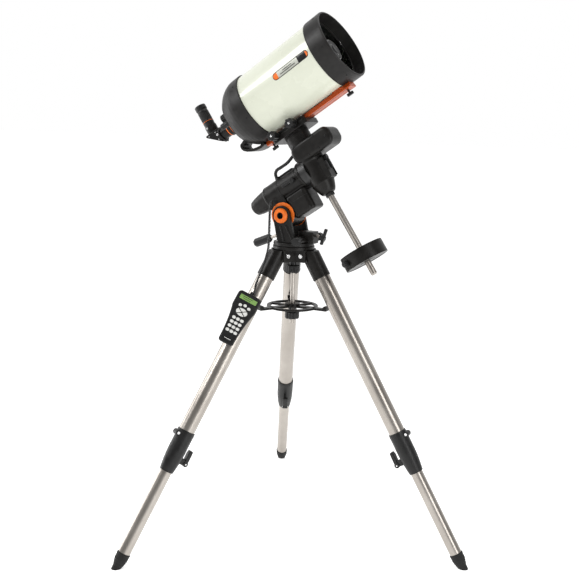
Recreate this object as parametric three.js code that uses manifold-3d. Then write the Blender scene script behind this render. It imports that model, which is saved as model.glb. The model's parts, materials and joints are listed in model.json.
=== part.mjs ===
// Schmidt-Cassegrain telescope on a motorised German equatorial mount and a steel-legged tripod.
// Millimetres, +Z up. The origin is on the floor, under the middle of the whole telescope. +X is the
// compass direction that the polar axis climbs towards, and one tripod leg stands under it.
// Stations are measured from the tripod's vertical axis, which the assembly then sets in place.
import * as THREE from 'three';
import { mergeVertices } from 'three/addons/utils/BufferGeometryUtils.js';
import Module from 'manifold-3d';

// ---- driving dimensions -------------------------------------------------------------------

const GAP = 0.3; // air left between neighbouring pieces
const PLAN_CENTRE = 125.94; // middle of the whole in X, from the tripod's vertical axis

const LEG_AZIMUTHS = { front: 0, back: 120, left: 240 }; // degrees, from +X
const LEG_TILT = 30.7; // degrees from the vertical
const FOOT_RADIUS = 607; // foot tip to the tripod's axis
const UPPER_TUBE_R = 25.4; // two-inch leg tube
const LOWER_TUBE_R = 19.05; // one-and-a-half-inch leg tube
const FOOT_TOP = 50; // the stations below are distances up the leg from the foot tip
const CLAMP_BOTTOM = 322;
const CLAMP_SEAT = 398; // the upper tube's end rests here
const CLAMP_TOP = 458;
const LOWER_TUBE_TOP = 700;
const SOCKET_BOTTOM = 988;
const SOCKET_SEAT = 1016;
const LEVER_STATION = 366;
const LEG_PIVOT = { radius: 45, height: 917 };

const HEAD_PLATE = { radius: 66, bottom: 934.5, top: 945 };
const HUB_BOTTOM = 897;
const ROD_R = 7.5;
const STUD_R = 6; // threaded upper end of the rod
const ROD_BOTTOM = 692;
const BRACE_HEIGHT = 745;

const MOUNT_DISC = { radius: 64, bottom: 945.3, top: 957 };
const LATITUDE_AXIS = { x: -19, z: 1041 };
const LATITUDE = 34; // degrees, the tilt of the polar axis
const AXES_CROSSING = { x: 68, z: 1190 }; // where the polar and declination axes cross

const RA_BODY_R = 38;
const DEC_BODY_R = 37;
const DEC_NECK_R = 39.5;
const SADDLE_BOTTOM = 122;
const SADDLE_TOP = 138;

const TUBE_HEIGHT = 263; // tube axis above the crossing of the axes, along the declination axis
const TUBE_R = 108;
const TUBE_FRONT = 212;
const TUBE_REAR = -58;
const FRONT_CELL = { radius: 111.5, front: 271 };
const REAR_CELL = { radius: 112.5, back: -150 };
const APERTURE_R = 101.6; // eight-inch clear aperture

const SHAFT_R = 10;
const SHAFT_END = -377;
const WEIGHT = { radius: 70.5, top: -288, bottom: -332 };

const FINE = 36; // facets round the optical tube and the wide discs
const ROUND = 20;
const SMALL = 10;

const DEGREE = Math.PI / 180;

// ---- materials ----------------------------------------------------------------------------

const finish = (color, roughness, metalness) => () =>
  new THREE.MeshStandardMaterial({ color, roughness, metalness });

const casting = finish(0x1b1a1b, 0.45, 0.1);
const plastic = finish(0x141414, 0.6, 0.0);
const rubber = finish(0x101010, 0.85, 0.0);
const steel = finish(0xb9b4ad, 0.25, 1.0);
const ivory = finish(0xd3d5c3, 0.35, 0.0);
const burntOrange = finish(0xb5400f, 0.4, 0.5);
const capOrange = finish(0xe2570e, 0.45, 0.2);
const glass = finish(0x3b4a4a, 0.05, 0.0);
const mirrorGlass = finish(0xd8dcde, 0.03, 1.0);
const keys = finish(0xdcdcd8, 0.6, 0.0);

// ---- geometry helpers ---------------------------------------------------------------------

const wasm = await Module();
wasm.setup();

/** A geometry with shared vertices and its faces pointing out. */
function weld(geometry) {
  const bare = geometry.clone();
  bare.deleteAttribute('normal');
  bare.deleteAttribute('uv');
  const merged = mergeVertices(bare, 1e-3);
  const at = merged.index.array;
  const kept = [];
  for (let i = 0; i < at.length; i += 3) {
    const [a, b, c] = [at[i], at[i + 1], at[i + 2]];
    if (a !== b && b !== c && c !== a) kept.push(a, b, c);
  }
  merged.setIndex(kept);
  return volumeOf(merged) < 0 ? flipped(merged) : merged;
}

function volumeOf(geometry) {
  const position = geometry.attributes.position;
  const at = geometry.index.array;
  const corner = (i) => new THREE.Vector3().fromBufferAttribute(position, at[i]);
  let sixfold = 0;
  for (let i = 0; i < at.length; i += 3) {
    sixfold += corner(i).dot(corner(i + 1).cross(corner(i + 2)));
  }
  return sixfold / 6;
}

function flipped(geometry) {
  const at = [...geometry.index.array];
  for (let i = 0; i < at.length; i += 3) {
    [at[i + 1], at[i + 2]] = [at[i + 2], at[i + 1]];
  }
  geometry.setIndex(at);
  return geometry;
}

function toManifold(geometry) {
  return new wasm.Manifold(
    new wasm.Mesh({
      numProp: 3,
      vertProperties: Float32Array.from(geometry.attributes.position.array),
      triVerts: Uint32Array.from(geometry.index.array),
    }),
  );
}

function fromManifold(manifold) {
  const mesh = manifold.getMesh();
  const geometry = new THREE.BufferGeometry();
  geometry.setAttribute('position', new THREE.BufferAttribute(mesh.vertProperties, 3));
  geometry.setIndex(Array.from(mesh.triVerts));
  return geometry;
}

function join(first, ...others) {
  const whole = others.reduce((sum, g) => sum.add(toManifold(g)), toManifold(first));
  return fromManifold(whole);
}

function cut(first, ...others) {
  const whole = others.reduce((sum, g) => sum.subtract(toManifold(g)), toManifold(first));
  return fromManifold(whole);
}

function common(first, second) {
  return fromManifold(toManifold(first).intersect(toManifold(second)));
}

/** Turns a geometry's own +Z onto the named axis. */
function facing(geometry, axis) {
  if (axis === 'x') geometry.rotateY(Math.PI / 2);
  if (axis === 'y') geometry.rotateX(-Math.PI / 2);
  return geometry;
}

/** A solid of revolution: profile lists [radius, height], and the heights run along the axis. */
function turned(profile, axis = 'z', segments = ROUND) {
  const points = profile.map(([r, h]) => new THREE.Vector2(r, h));
  const solid = weld(new THREE.LatheGeometry(points, segments));
  solid.rotateX(Math.PI / 2);
  return facing(solid, axis);
}

function cylinder(radius, low, high, axis = 'z', segments = ROUND) {
  return turned([[0, low], [radius, low], [radius, high], [0, high]], axis, segments);
}

function ring(outer, inner, low, high, axis = 'z', segments = ROUND) {
  const profile = [[inner, low], [outer, low], [outer, high], [inner, high], [inner, low]];
  return turned(profile, axis, segments);
}

/** A knob with flutes round its rim. */
function fluted(radius, depth, flutes, low, high, axis = 'z') {
  const outline = new THREE.Shape();
  const steps = flutes * 2;
  for (let i = 0; i < steps; i++) {
    const angle = (2 * Math.PI * i) / steps;
    const r = i % 2 ? radius - depth : radius;
    const [x, y] = [r * Math.cos(angle), r * Math.sin(angle)];
    if (i) outline.lineTo(x, y);
    else outline.moveTo(x, y);
  }
  return facing(extruded(outline, low, high), axis);
}

function extruded(outline, low, high, curveSegments = 6) {
  const options = { depth: high - low, bevelEnabled: false, curveSegments };
  return weld(new THREE.ExtrudeGeometry(outline, options)).translate(0, 0, low);
}

function polygon(points) {
  return new THREE.Shape(points.map(([x, y]) => new THREE.Vector2(x, y)));
}

/** A plate whose outline lies in the XZ plane, between two Y stations. */
function sideways(outline, low, high, curveSegments = 6) {
  return extruded(outline, -high, -low, curveSegments).rotateX(Math.PI / 2);
}

function roundedRectangle(width, height, radius) {
  const [w, h] = [width / 2, height / 2];
  const outline = new THREE.Shape();
  outline.absarc(w - radius, h - radius, radius, 0, Math.PI / 2);
  outline.absarc(radius - w, h - radius, radius, Math.PI / 2, Math.PI);
  outline.absarc(radius - w, radius - h, radius, Math.PI, 1.5 * Math.PI);
  outline.absarc(w - radius, radius - h, radius, 1.5 * Math.PI, 2 * Math.PI);
  return outline;
}

function box(size, centre) {
  return weld(new THREE.BoxGeometry(...size)).translate(...centre);
}

/** A block rounded in plan, with bevelled ends, centred on a point. */
function softBlock(width, depth, height, radius, bevel, centre) {
  const outline = roundedRectangle(width - 2 * bevel, depth - 2 * bevel, radius);
  const options = {
    depth: height - 2 * bevel,
    bevelEnabled: true,
    bevelThickness: bevel,
    bevelSize: bevel,
    bevelSegments: 1,
    curveSegments: 3,
  };
  const block = weld(new THREE.ExtrudeGeometry(outline, options));
  return block.translate(0, 0, bevel - height / 2).translate(...centre);
}

function vectors(points) {
  return points.map((point) => new THREE.Vector3(...point));
}

/** A round cord along a smooth curve through the points. */
function cord(points, diameter, sides, steps) {
  const section = new THREE.Shape();
  for (let i = 0; i < sides; i++) {
    const angle = (2 * Math.PI * i) / sides;
    const [x, y] = [(diameter / 2) * Math.cos(angle), (diameter / 2) * Math.sin(angle)];
    if (i) section.lineTo(x, y);
    else section.moveTo(x, y);
  }
  const path = new THREE.CatmullRomCurve3(vectors(points), false, 'centripetal');
  return weld(new THREE.ExtrudeGeometry(section, { steps, extrudePath: path, bevelEnabled: false }));
}

function part(name, geometry, material) {
  const mesh = new THREE.Mesh(geometry, material());
  mesh.name = name;
  return mesh;
}

// ---- tripod -------------------------------------------------------------------------------

function tripodHead() {
  const { radius, bottom, top } = HEAD_PLATE;
  const depth = bottom - HUB_BOTTOM + 1;
  const middle = (bottom + HUB_BOTTOM + 1) / 2;
  let head = join(
    cylinder(radius, bottom, top, 'z', FINE),
    cylinder(26, HUB_BOTTOM, bottom + 1, 'z', ROUND),
  );
  for (const azimuth of Object.values(LEG_AZIMUTHS)) {
    for (const side of [-1, 1]) {
      const lug = box([46, 6.5, depth], [37, side * 34.75, middle]);
      head = join(head, lug.rotateZ(azimuth * DEGREE));
    }
    const web = box([18, 12, depth], [29, 0, middle]);
    head = join(head, web.rotateZ((azimuth + 60) * DEGREE));
  }
  return cut(head, cylinder(ROD_R + GAP, HUB_BOTTOM - 5, top + 5, 'z', ROUND));
}

/** The casting at the top of a leg, in the leg's own frame. */
function legSocket(pivot, plateTilt) {
  const barrel = turned(
    [[0, SOCKET_BOTTOM], [27.4, SOCKET_BOTTOM], [28.4, SOCKET_BOTTOM + 6], [28.4, 1120], [0, 1120]],
  );
  const overhang = box([60, 80, 60], [-30, 0, 30]).rotateY(plateTilt).translate(...pivot);
  const underPlate = box([400, 200, 100], [0, 0, 16 + 50]).rotateY(plateTilt).translate(...pivot);
  const boss = cylinder(15, -31.1, 31.1, 'y', ROUND).translate(...pivot);
  const bore = cylinder(UPPER_TUBE_R + GAP, SOCKET_BOTTOM - 5, SOCKET_SEAT, 'z', ROUND);
  return cut(join(cut(barrel, overhang, underPlate), boss), bore);
}

function legClamp() {
  const profile = [
    [LOWER_TUBE_R + GAP, CLAMP_BOTTOM],
    [22, CLAMP_BOTTOM],
    [26.4, CLAMP_BOTTOM + 34],
    [28.2, CLAMP_BOTTOM + 66],
    [28.2, CLAMP_TOP],
    [UPPER_TUBE_R + GAP, CLAMP_TOP],
    [UPPER_TUBE_R + GAP, CLAMP_SEAT],
    [LOWER_TUBE_R + GAP, CLAMP_SEAT],
    [LOWER_TUBE_R + GAP, CLAMP_BOTTOM],
  ];
  const sleeve = turned(profile, 'z', ROUND);
  const leverLug = box([15, 14, 20], [-31, 0, LEVER_STATION]);
  const pinchBoss = cylinder(9, -11, 11, 'y', SMALL).translate(29, 0, CLAMP_TOP - 16);
  const bore = cylinder(UPPER_TUBE_R + GAP, CLAMP_SEAT, CLAMP_TOP + 5, 'z', ROUND);
  const lowerBore = cylinder(LOWER_TUBE_R + GAP, CLAMP_BOTTOM - 5, CLAMP_TOP, 'z', ROUND);
  return cut(join(sleeve, leverLug, pinchBoss), bore, lowerBore);
}

function legLockLever() {
  const hub = cylinder(8.5, -9, 9, 'y', SMALL).translate(-47.5, 0, LEVER_STATION - 4);
  const outline = polygon([[-54, -2], [-42, 4], [-40.5, 30], [-43, 40], [-52, 40], [-53.5, 26]]);
  const blade = sideways(outline, -9, 9).translate(0, 0, LEVER_STATION);
  return join(hub, blade);
}

function legFoot(floorTilt) {
  const tip = turned([[0, -14], [13.5, -14], [14.5, 8], [20.5, 34], [20.5, FOOT_TOP], [0, FOOT_TOP]]);
  const floor = box([120, 120, 60], [0, 0, -30]).rotateY(floorTilt);
  return cut(tip, floor);
}

function tripodLeg(side) {
  const leg = new THREE.Group();
  leg.position.set(FOOT_RADIUS, 0, 0);
  leg.rotation.y = -LEG_TILT * DEGREE;
  const upright = LEG_TILT * DEGREE;
  const pivot = new THREE.Vector3(LEG_PIVOT.radius - FOOT_RADIUS, 0, LEG_PIVOT.height);
  pivot.applyAxisAngle(new THREE.Vector3(0, 1, 0), upright);
  const upperTube = ring(UPPER_TUBE_R, UPPER_TUBE_R - 3, CLAMP_SEAT + GAP, SOCKET_SEAT - GAP);
  const lowerTube = ring(LOWER_TUBE_R, LOWER_TUBE_R - 2, FOOT_TOP + GAP, LOWER_TUBE_TOP);
  if (side === 'left') leg.add(handController());
  leg.add(
    part(`leg_socket_${side}`, legSocket(pivot.toArray(), upright), casting),
    part(`leg_upper_tube_${side}`, upperTube, steel),
    part(`leg_clamp_${side}`, legClamp(), casting),
    part(`leg_lock_lever_${side}`, legLockLever(), plastic),
    part(`leg_lower_tube_${side}`, lowerTube, steel),
    part(`leg_foot_${side}`, legFoot(upright), rubber),
  );
  const stand = new THREE.Group();
  stand.rotation.z = LEG_AZIMUTHS[side] * DEGREE;
  stand.add(leg);
  return stand;
}

/** The long bolt that draws the mount down onto the tripod, with its knob below the head. */
function mountingRod() {
  return join(
    cylinder(ROD_R, ROD_BOTTOM, HUB_BOTTOM - 20, 'z', ROUND),
    fluted(20, 2.5, 10, HUB_BOTTOM - 40, HUB_BOTTOM - 16),
    cylinder(12, HUB_BOTTOM - 17, HUB_BOTTOM - GAP, 'z', SMALL),
    cylinder(STUD_R, HUB_BOTTOM - 5, MOUNT_DISC.top + 12, 'z', ROUND),
  );
}

function legBrace() {
  const thickness = 7;
  const low = BRACE_HEIGHT;
  const high = BRACE_HEIGHT + thickness;
  const inner = [[16, high], [16, low]];
  const saddleEnd = [[124, low], [124, high + 8], [114, high + 8], [110, high]];
  let tray = join(ring(82, 70, low, high, 'z', FINE), cylinder(24, low, high + 6));
  for (const azimuth of Object.values(LEG_AZIMUTHS)) {
    const arm = sideways(polygon([...inner, ...saddleEnd]), -11, 11);
    const spoke = box([60, 9, thickness], [-46, 0, (low + high) / 2]);
    tray = join(tray, arm.rotateZ(azimuth * DEGREE), spoke.rotateZ(azimuth * DEGREE));
  }
  return cut(tray, cylinder(ROD_R + GAP, low - 5, high + 20, 'z', ROUND));
}

function braceKnob() {
  const grip = fluted(23, 3, 9, ROD_BOTTOM + 16, ROD_BOTTOM + 38);
  const collar = cylinder(13, ROD_BOTTOM + 37, BRACE_HEIGHT - GAP);
  return cut(join(grip, collar), cylinder(ROD_R + GAP, ROD_BOTTOM, BRACE_HEIGHT + 5, 'z', ROUND));
}

// ---- azimuth base and latitude screws -------------------------------------------------------

const YOKE = { inner: 43, outer: 55 }; // Y stations of the two upright arms
const HUB_R = 30; // round top of each arm

function yokeArm(side) {
  const { x, z } = LATITUDE_AXIS;
  const outline = new THREE.Shape();
  outline.moveTo(-30, MOUNT_DISC.top - 1);
  outline.lineTo(x - HUB_R, z);
  outline.absarc(x, z, HUB_R, Math.PI, 0.12 * Math.PI, true);
  outline.lineTo(22, 994);
  outline.lineTo(33, 966);
  outline.lineTo(33, MOUNT_DISC.top - 1);
  const [low, high] = side < 0 ? [-YOKE.outer, -YOKE.inner] : [YOKE.inner, YOKE.outer];
  return sideways(outline, low, high, 10);
}

function mountBase() {
  const { radius, bottom, top } = MOUNT_DISC;
  const { x, z } = LATITUDE_AXIS;
  const floorRim = turned([[0, bottom], [radius, bottom], [radius, top], [0, top]], 'z', FINE);
  const block = box([70, 94, 23], [14, 0, top + 9.5]);
  const nose = box([50, 40, 38], [51.5, 0, top + 17]);
  const lugs = cylinder(8.5, -72, 72, 'y', SMALL).translate(50, 0, top + 10);
  const pivotBore = cylinder(12, -70, 70, 'y', ROUND).translate(x, 0, z);
  const rodPocket = cylinder(STUD_R + GAP, bottom - 5, top + 16, 'z', ROUND);
  const screwBoss = box([32, 40, 30], [-35, 0, top + 14]);
  const base = join(floorRim, block, nose, screwBoss, lugs, yokeArm(-1), yokeArm(1));
  return cut(base, pivotBore, rodPocket, ...azimuthScrewBores());
}

function azimuthScrewBores() {
  const bore = cylinder(4 + GAP, -16, 16, 'y', SMALL);
  return [-64, 64].map((y) => bore.clone().translate(50, y, MOUNT_DISC.top + 10));
}

/** Knurled screw that pushes the head round in azimuth; side is -1 or 1. */
function azimuthScrew(side) {
  const stem = cylinder(4, 50, 74, 'y', SMALL);
  const head = fluted(13, 1.5, 12, 72.3, 90, 'y');
  const screw = join(stem, head).translate(50, 0, MOUNT_DISC.top + 10);
  return side < 0 ? flipped(screw.scale(1, -1, 1)) : screw;
}

const FRONT_SCREW = { from: [77.5, 0, 981], tilt: -18 }; // near the block on the +X side
const REAR_SCREW = { from: [-50, 0, 975], tilt: 22 }; // long handle on the -X side

/** Latitude screw with a T lever. */
function latitudeScrewFront() {
  const stem = cylinder(5, GAP + 1, 22, 'x', SMALL);
  const hub = cylinder(9, 14, 32, 'x', SMALL);
  const bar = softBlock(10, 11, 52, 4, 1, [26, 0, 6]);
  return join(stem, hub, bar);
}

/** Latitude screw with a long six-sided handle. */
function latitudeScrewRear() {
  const stem = cylinder(5, -38, -GAP - 3, 'x', SMALL);
  const handle = turned([[0, -98], [11, -98], [14, -93], [14, -41], [10, -34], [0, -34]], 'x', SMALL);
  return join(stem, handle);
}

// ---- polar (right ascension) housing ----------------------------------------------------------

/** Everything below is in the polar frame: +X up the polar axis, +Z up the declination axis. */
const PIVOT = polarPoint(LATITUDE_AXIS.x, LATITUDE_AXIS.z);

function polarPoint(x, z) {
  const [dx, dz] = [x - AXES_CROSSING.x, z - AXES_CROSSING.z];
  const [c, s] = [Math.cos(LATITUDE * DEGREE), Math.sin(LATITUDE * DEGREE)];
  return { x: dx * c + dz * s, z: -dx * s + dz * c };
}

const RA_FRONT = -40;
const RA_MOTOR = { low: -126, high: -47, bottom: -108, top: -34, half: 40 };

function raHousing() {
  const barrel = turned(
    [[0, -255], [17, -255], [24, -249], [28, -234], [34, -196], [RA_BODY_R, -186], [RA_BODY_R, RA_FRONT - 12],
      [44, RA_FRONT - 8], [44, RA_FRONT], [0, RA_FRONT]],
    'x',
    ROUND,
  );
  const outline = new THREE.Shape();
  outline.moveTo(-186, -10);
  outline.lineTo(PIVOT.x - 30, PIVOT.z);
  outline.absarc(PIVOT.x, PIVOT.z, 30, Math.PI, 1.9 * Math.PI);
  outline.lineTo(RA_MOTOR.low - GAP, -90);
  outline.lineTo(RA_MOTOR.low - GAP, -10);
  const web = sideways(outline, -34, 34, 14);
  const disc = cylinder(39, -40, 40, 'y', ROUND).translate(PIVOT.x, 0, PIVOT.z);
  const bridge = box([RA_MOTOR.high - RA_MOTOR.low + 14, 56, 30], [-90.5, 0, -18]);
  const ledge = box([30, 40, 34], [-166, 0, -24]);
  return cut(join(barrel, web, disc, bridge, ledge), ...raHousingCuts());
}

function raHousingCuts() {
  const axle = cylinder(12, -60, 60, 'y', ROUND).translate(PIVOT.x, 0, PIVOT.z);
  const { low, high, bottom, top, half } = RA_MOTOR;
  const size = [high - low + 2 * GAP, 2 * half + 2, top - bottom];
  const motor = box(size, [(low + high) / 2, 0, (top + bottom) / 2 + GAP]);
  return [axle, motor];
}

function raMotorCover() {
  const { low, high, bottom, top, half } = RA_MOTOR;
  const block = softBlock(high - low, 2 * half, top - bottom, 16, 4, [0, 0, 0]);
  return block.translate((low + high) / 2, 0, (top + bottom) / 2);
}

/** The hollow pin that the latitude tilts about, with a coloured cap and friction disc each side. */
function latitudePivot() {
  const cap = YOKE.outer + GAP;
  const disc = YOKE.inner - GAP;
  const half = [
    [11.7, 0], [11.7, disc - 2.4], [40, disc - 2.4], [40, disc], [11.7, disc], [11.7, cap], [23.5, cap],
    [23.5, cap + 3], [20, cap + 7], [8.5, cap + 7],
  ];
  const mirrored = half.slice(1).reverse().map(([r, h]) => [r, -h]);
  const spool = turned([...mirrored, ...half, mirrored[0]], 'y', ROUND);
  return spool.translate(PIVOT.x, 0, PIVOT.z);
}

/** Clutch lever: a hub on the axis +Z with a blade that points along +X. */
function clutchLever(length) {
  const hub = cylinder(9, GAP, 11, 'z', SMALL);
  const blade = softBlock(length, 9, 9, 3, 1.5, [length / 2, 0, 7.5]);
  return join(hub, blade);
}

function polarClutchLever() {
  return clutchLever(38).rotateZ(Math.PI).rotateX(Math.PI / 2).translate(-70, -RA_BODY_R, 0);
}

function declinationClutchLever() {
  return clutchLever(40).rotateY(Math.PI / 2).translate(DEC_RACK_FACE, 0, 10);
}

// ---- declination housing and saddle --------------------------------------------------------

const DEC_RACK_FACE = 43; // flat face that carries the declination clutch lever
const DEC_MOTOR = { low: -34, high: 114, bottom: 26, top: 86, half: 42 };

function decHousing() {
  const spindle = turned(
    [[0, -92], [15, -92], [22, -89], [30, -74], [35.5, -58], [DEC_BODY_R, -56], [DEC_BODY_R, 18],
      [DEC_NECK_R, 22], [DEC_NECK_R, SADDLE_BOTTOM - 5], [0, SADDLE_BOTTOM - 5]],
    'z',
    ROUND,
  );
  const flange = cylinder(43, RA_FRONT + GAP, -14, 'x', ROUND);
  const rack = box([30, 44, 70], [DEC_RACK_FACE - 15, 0, -20]);
  const { low, high, bottom, top, half } = DEC_MOTOR;
  const size = [high - low, 2 * half, top - bottom].map((length) => length + 2 * GAP);
  const pocket = box(size, [(low + high) / 2, 0, (top + bottom) / 2]);
  const bore = cylinder(SHAFT_R + GAP, -100, -30, 'z', ROUND);
  const neck = cylinder(DEC_NECK_R, bottom - 2, top + 2, 'z', ROUND);
  const core = common(neck, box([200, 76, 200], [0, 0, 0]));
  return join(cut(join(spindle, flange, rack), pocket, bore), core);
}

function decMotorCover() {
  const { low, high, bottom, top, half } = DEC_MOTOR;
  const cover = softBlock(high - low, top - bottom, 2 * half, 24, 6, [0, 0, 0]).rotateX(Math.PI / 2);
  cover.translate((low + high) / 2, 0, (top + bottom) / 2);
  return cut(cover, cylinder(DEC_NECK_R + GAP, bottom - 5, top + 5, 'z', ROUND));
}

function saddle() {
  const middle = (SADDLE_TOP + SADDLE_BOTTOM) / 2;
  const plate = softBlock(132, 92, SADDLE_TOP - SADDLE_BOTTOM, 10, 1.5, [2, 0, middle]);
  const lip = (side) => box([124, 15.5, 13], [2, side * 32.25, SADDLE_TOP + 4.5]);
  const boss = cylinder(DEC_NECK_R, SADDLE_BOTTOM - 4.7, SADDLE_BOTTOM + 2);
  const bore = cylinder(4 + GAP, -60, -34, 'y', SMALL);
  const bores = SADDLE_KNOBS.map((x) => bore.clone().translate(x, 0, SADDLE_TOP + 3));
  return cut(join(plate, boss, lip(-1), lip(1)), ...bores);
}

const SADDLE_KNOBS = [-42, 30]; // stations along the tube

function saddleKnob(x) {
  const stem = cylinder(4, -62, -36, 'y', SMALL);
  const head = fluted(15, 2.5, 7, -80, -46, 'y');
  return join(stem, head).translate(x, 0, SADDLE_TOP + 3);
}

function counterweightShaft() {
  return turned(
    [[0, SHAFT_END], [7, SHAFT_END], [SHAFT_R, SHAFT_END + 4], [SHAFT_R, -34], [0, -34]],
    'z',
    ROUND,
  );
}

function counterweight() {
  const { radius, top, bottom } = WEIGHT;
  const disc = turned(
    [[SHAFT_R + GAP, bottom], [radius - 4, bottom], [radius, bottom + 4], [radius, top - 4], [radius - 4, top],
      [SHAFT_R + GAP, top], [SHAFT_R + GAP, bottom]],
    'z',
    FINE,
  );
  const bore = cylinder(4 + GAP, -radius - 10, -SHAFT_R - 1, 'x', SMALL).translate(0, 0, (top + bottom) / 2);
  return cut(disc, bore.rotateZ(WEIGHT_SCREW_AZIMUTH * DEGREE));
}

const WEIGHT_SCREW_AZIMUTH = 62;

function counterweightScrew() {
  const stem = cylinder(4, -WEIGHT.radius - 6, -SHAFT_R - 3, 'x', SMALL);
  const head = fluted(9, 1.2, 10, -WEIGHT.radius - 16, -WEIGHT.radius - 1, 'x');
  const screw = join(stem, head).translate(0, 0, (WEIGHT.top + WEIGHT.bottom) / 2);
  return screw.rotateZ(WEIGHT_SCREW_AZIMUTH * DEGREE);
}

// ---- optical tube: heights here are from the tube's own axis, which lies along +X --------------

function opticalTube() {
  return ring(TUBE_R, TUBE_R - 2.5, TUBE_REAR + GAP, TUBE_FRONT - GAP, 'x', FINE);
}

function frontCell() {
  const { radius, front } = FRONT_CELL;
  return turned(
    [[TUBE_R - 2.5 - GAP, TUBE_FRONT - 8], [TUBE_R - 2.5 - GAP, TUBE_FRONT], [radius - 1, TUBE_FRONT],
      [radius, TUBE_FRONT + 4], [radius, front - 3], [radius - 2, front], [radius - 6, front],
      [radius - 7, front - 36], [APERTURE_R, front - 38], [APERTURE_R, TUBE_FRONT - 8],
      [TUBE_R - 2.5 - GAP, TUBE_FRONT - 8]],
    'x',
    FINE,
  );
}

const CORRECTOR = { back: 228, front: 232, hole: 27 };

function correctorPlate() {
  return ring(APERTURE_R - GAP, CORRECTOR.hole, CORRECTOR.back, CORRECTOR.front, 'x', FINE);
}

function secondaryHolder() {
  const { back, front, hole } = CORRECTOR;
  const body = turned(
    [[0, back - 26], [24, back - 26], [hole - GAP, back - 20], [hole - GAP, front + GAP], [36, front + GAP],
      [36, front + 6], [31, front + 11], [0, front + 11]],
    'x',
    FINE,
  );
  return body;
}

const MIRROR = { back: -95, front: -70, hole: 27 };
const BAFFLE_R = 24;

function primaryMirror() {
  const { back, front, hole } = MIRROR;
  const dish = [[100, front], [70, front - 4], [hole, front - 7]];
  return turned(
    [[hole, back], [100, back], ...dish, [hole, back]],
    'x',
    FINE,
  );
}

function rearCell() {
  const { radius, back } = REAR_CELL;
  const shell = turned(
    [[0, back], [78, back], [84, back + 3], [98, back + 20], [108, back + 40], [radius, back + 62],
      [radius, TUBE_REAR], [TUBE_R - 2.5 - GAP, TUBE_REAR],
      [TUBE_R - 2.5 - GAP, TUBE_REAR + 10], [103, TUBE_REAR + 10],
      [103, back + 46], [92, back + 26], [78, back + 8], [BAFFLE_R, back + 8],
      [BAFFLE_R, 90], [20, 90], [20, back + 6], [0, back + 6]],
    'x',
    FINE,
  );
  const opening = cylinder(20, back - 5, 100, 'x', ROUND);
  const focusBore = cylinder(5 + GAP, back - 5, back + 20, 'x', SMALL).translate(0, ...FOCUS_KNOB);
  const lockBore = cylinder(4 + GAP, back - 5, back + 20, 'x', SMALL).translate(0, ...MIRROR_LOCK);
  return cut(shell, opening, focusBore, lockBore);
}

const FOCUS_KNOB = [-49, 20]; // Y and Z from the tube's axis
const MIRROR_LOCK = [-64, -2];

function focusKnob() {
  const { back } = REAR_CELL;
  const knob = join(
    cylinder(5, back - 6, back + 16, 'x', SMALL),
    fluted(16, 1.5, 14, back - 24, back - GAP, 'x'),
  );
  return knob.translate(0, ...FOCUS_KNOB);
}

function mirrorLock() {
  const { back } = REAR_CELL;
  const knob = join(
    cylinder(4, back - 6, back + 16, 'x', SMALL),
    turned(
      [[0, back - 34], [8, back - 34], [10, back - 31], [10, back - 6], [7, back - GAP], [0, back - GAP]],
      'x',
      SMALL,
    ),
  );
  return knob.translate(0, ...MIRROR_LOCK);
}

function carryHandle() {
  const outline = new THREE.Shape();
  outline.moveTo(-98, -117);
  outline.lineTo(-118, -119);
  outline.quadraticCurveTo(-158, -113, -176, -93);
  outline.quadraticCurveTo(-184, -78, -176, -70);
  outline.lineTo(-150.5, -62);
  outline.lineTo(-150.5, -73);
  outline.lineTo(-168, -79);
  outline.quadraticCurveTo(-172, -86, -160, -96);
  outline.quadraticCurveTo(-146, -107, -116, -110);
  outline.lineTo(-98, -106);
  const strap = sideways(outline, -28, 28, 5);
  const { radius, back } = REAR_CELL;
  const cell = turned(
    [[0, back - GAP], [78.2, back - GAP], [84.4, back + 3], [98.4, back + 20], [108.4, back + 40],
      [radius + GAP, back + 62], [radius + GAP, TUBE_REAR + 60], [0, TUBE_REAR + 60]],
    'x',
    FINE,
  );
  return cut(strap, cell);
}

function visualBack() {
  const { back } = REAR_CELL;
  return turned(
    [[16.5, back - 46], [22, back - 46], [24, back - 42], [24, back - 26], [34, back - 25], [34, back - 12],
      [35, back - 11], [35, back - GAP], [16.5, back - GAP], [16.5, back - 46]],
    'x',
    ROUND,
  );
}

const EYEPIECE_X = -251;

function starDiagonal() {
  const { back } = REAR_CELL;
  const nose = cylinder(15.9, EYEPIECE_X + 10, back - 22, 'x', ROUND);
  const collar = cylinder(26, EYEPIECE_X + 22, EYEPIECE_X + 29, 'x', ROUND);
  const outline = polygon([[22, -24], [24, -20], [24, 22], [-22, 22], [-24, 17]]);
  const prism = sideways(outline, -21, 21).translate(EYEPIECE_X, 0, 0);
  const holder = cylinder(19.5, 18, 48, 'z', ROUND).translate(EYEPIECE_X, 0, 0);
  const socket = cylinder(15.9 + GAP, 26, 60, 'z', ROUND).translate(EYEPIECE_X, 0, 0);
  return cut(join(nose, collar, prism, holder), socket);
}

function eyepiece() {
  return turned(
    [[0, 28], [15.9, 28], [15.9, 48 + GAP], [17.5, 48 + GAP], [18.2, 60], [18.2, 100], [16.5, 104],
      [19, 107], [19, 122], [15, 122], [13, 112], [0, 110]],
    'z',
    ROUND,
  ).translate(EYEPIECE_X, 0, 0);
}

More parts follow.
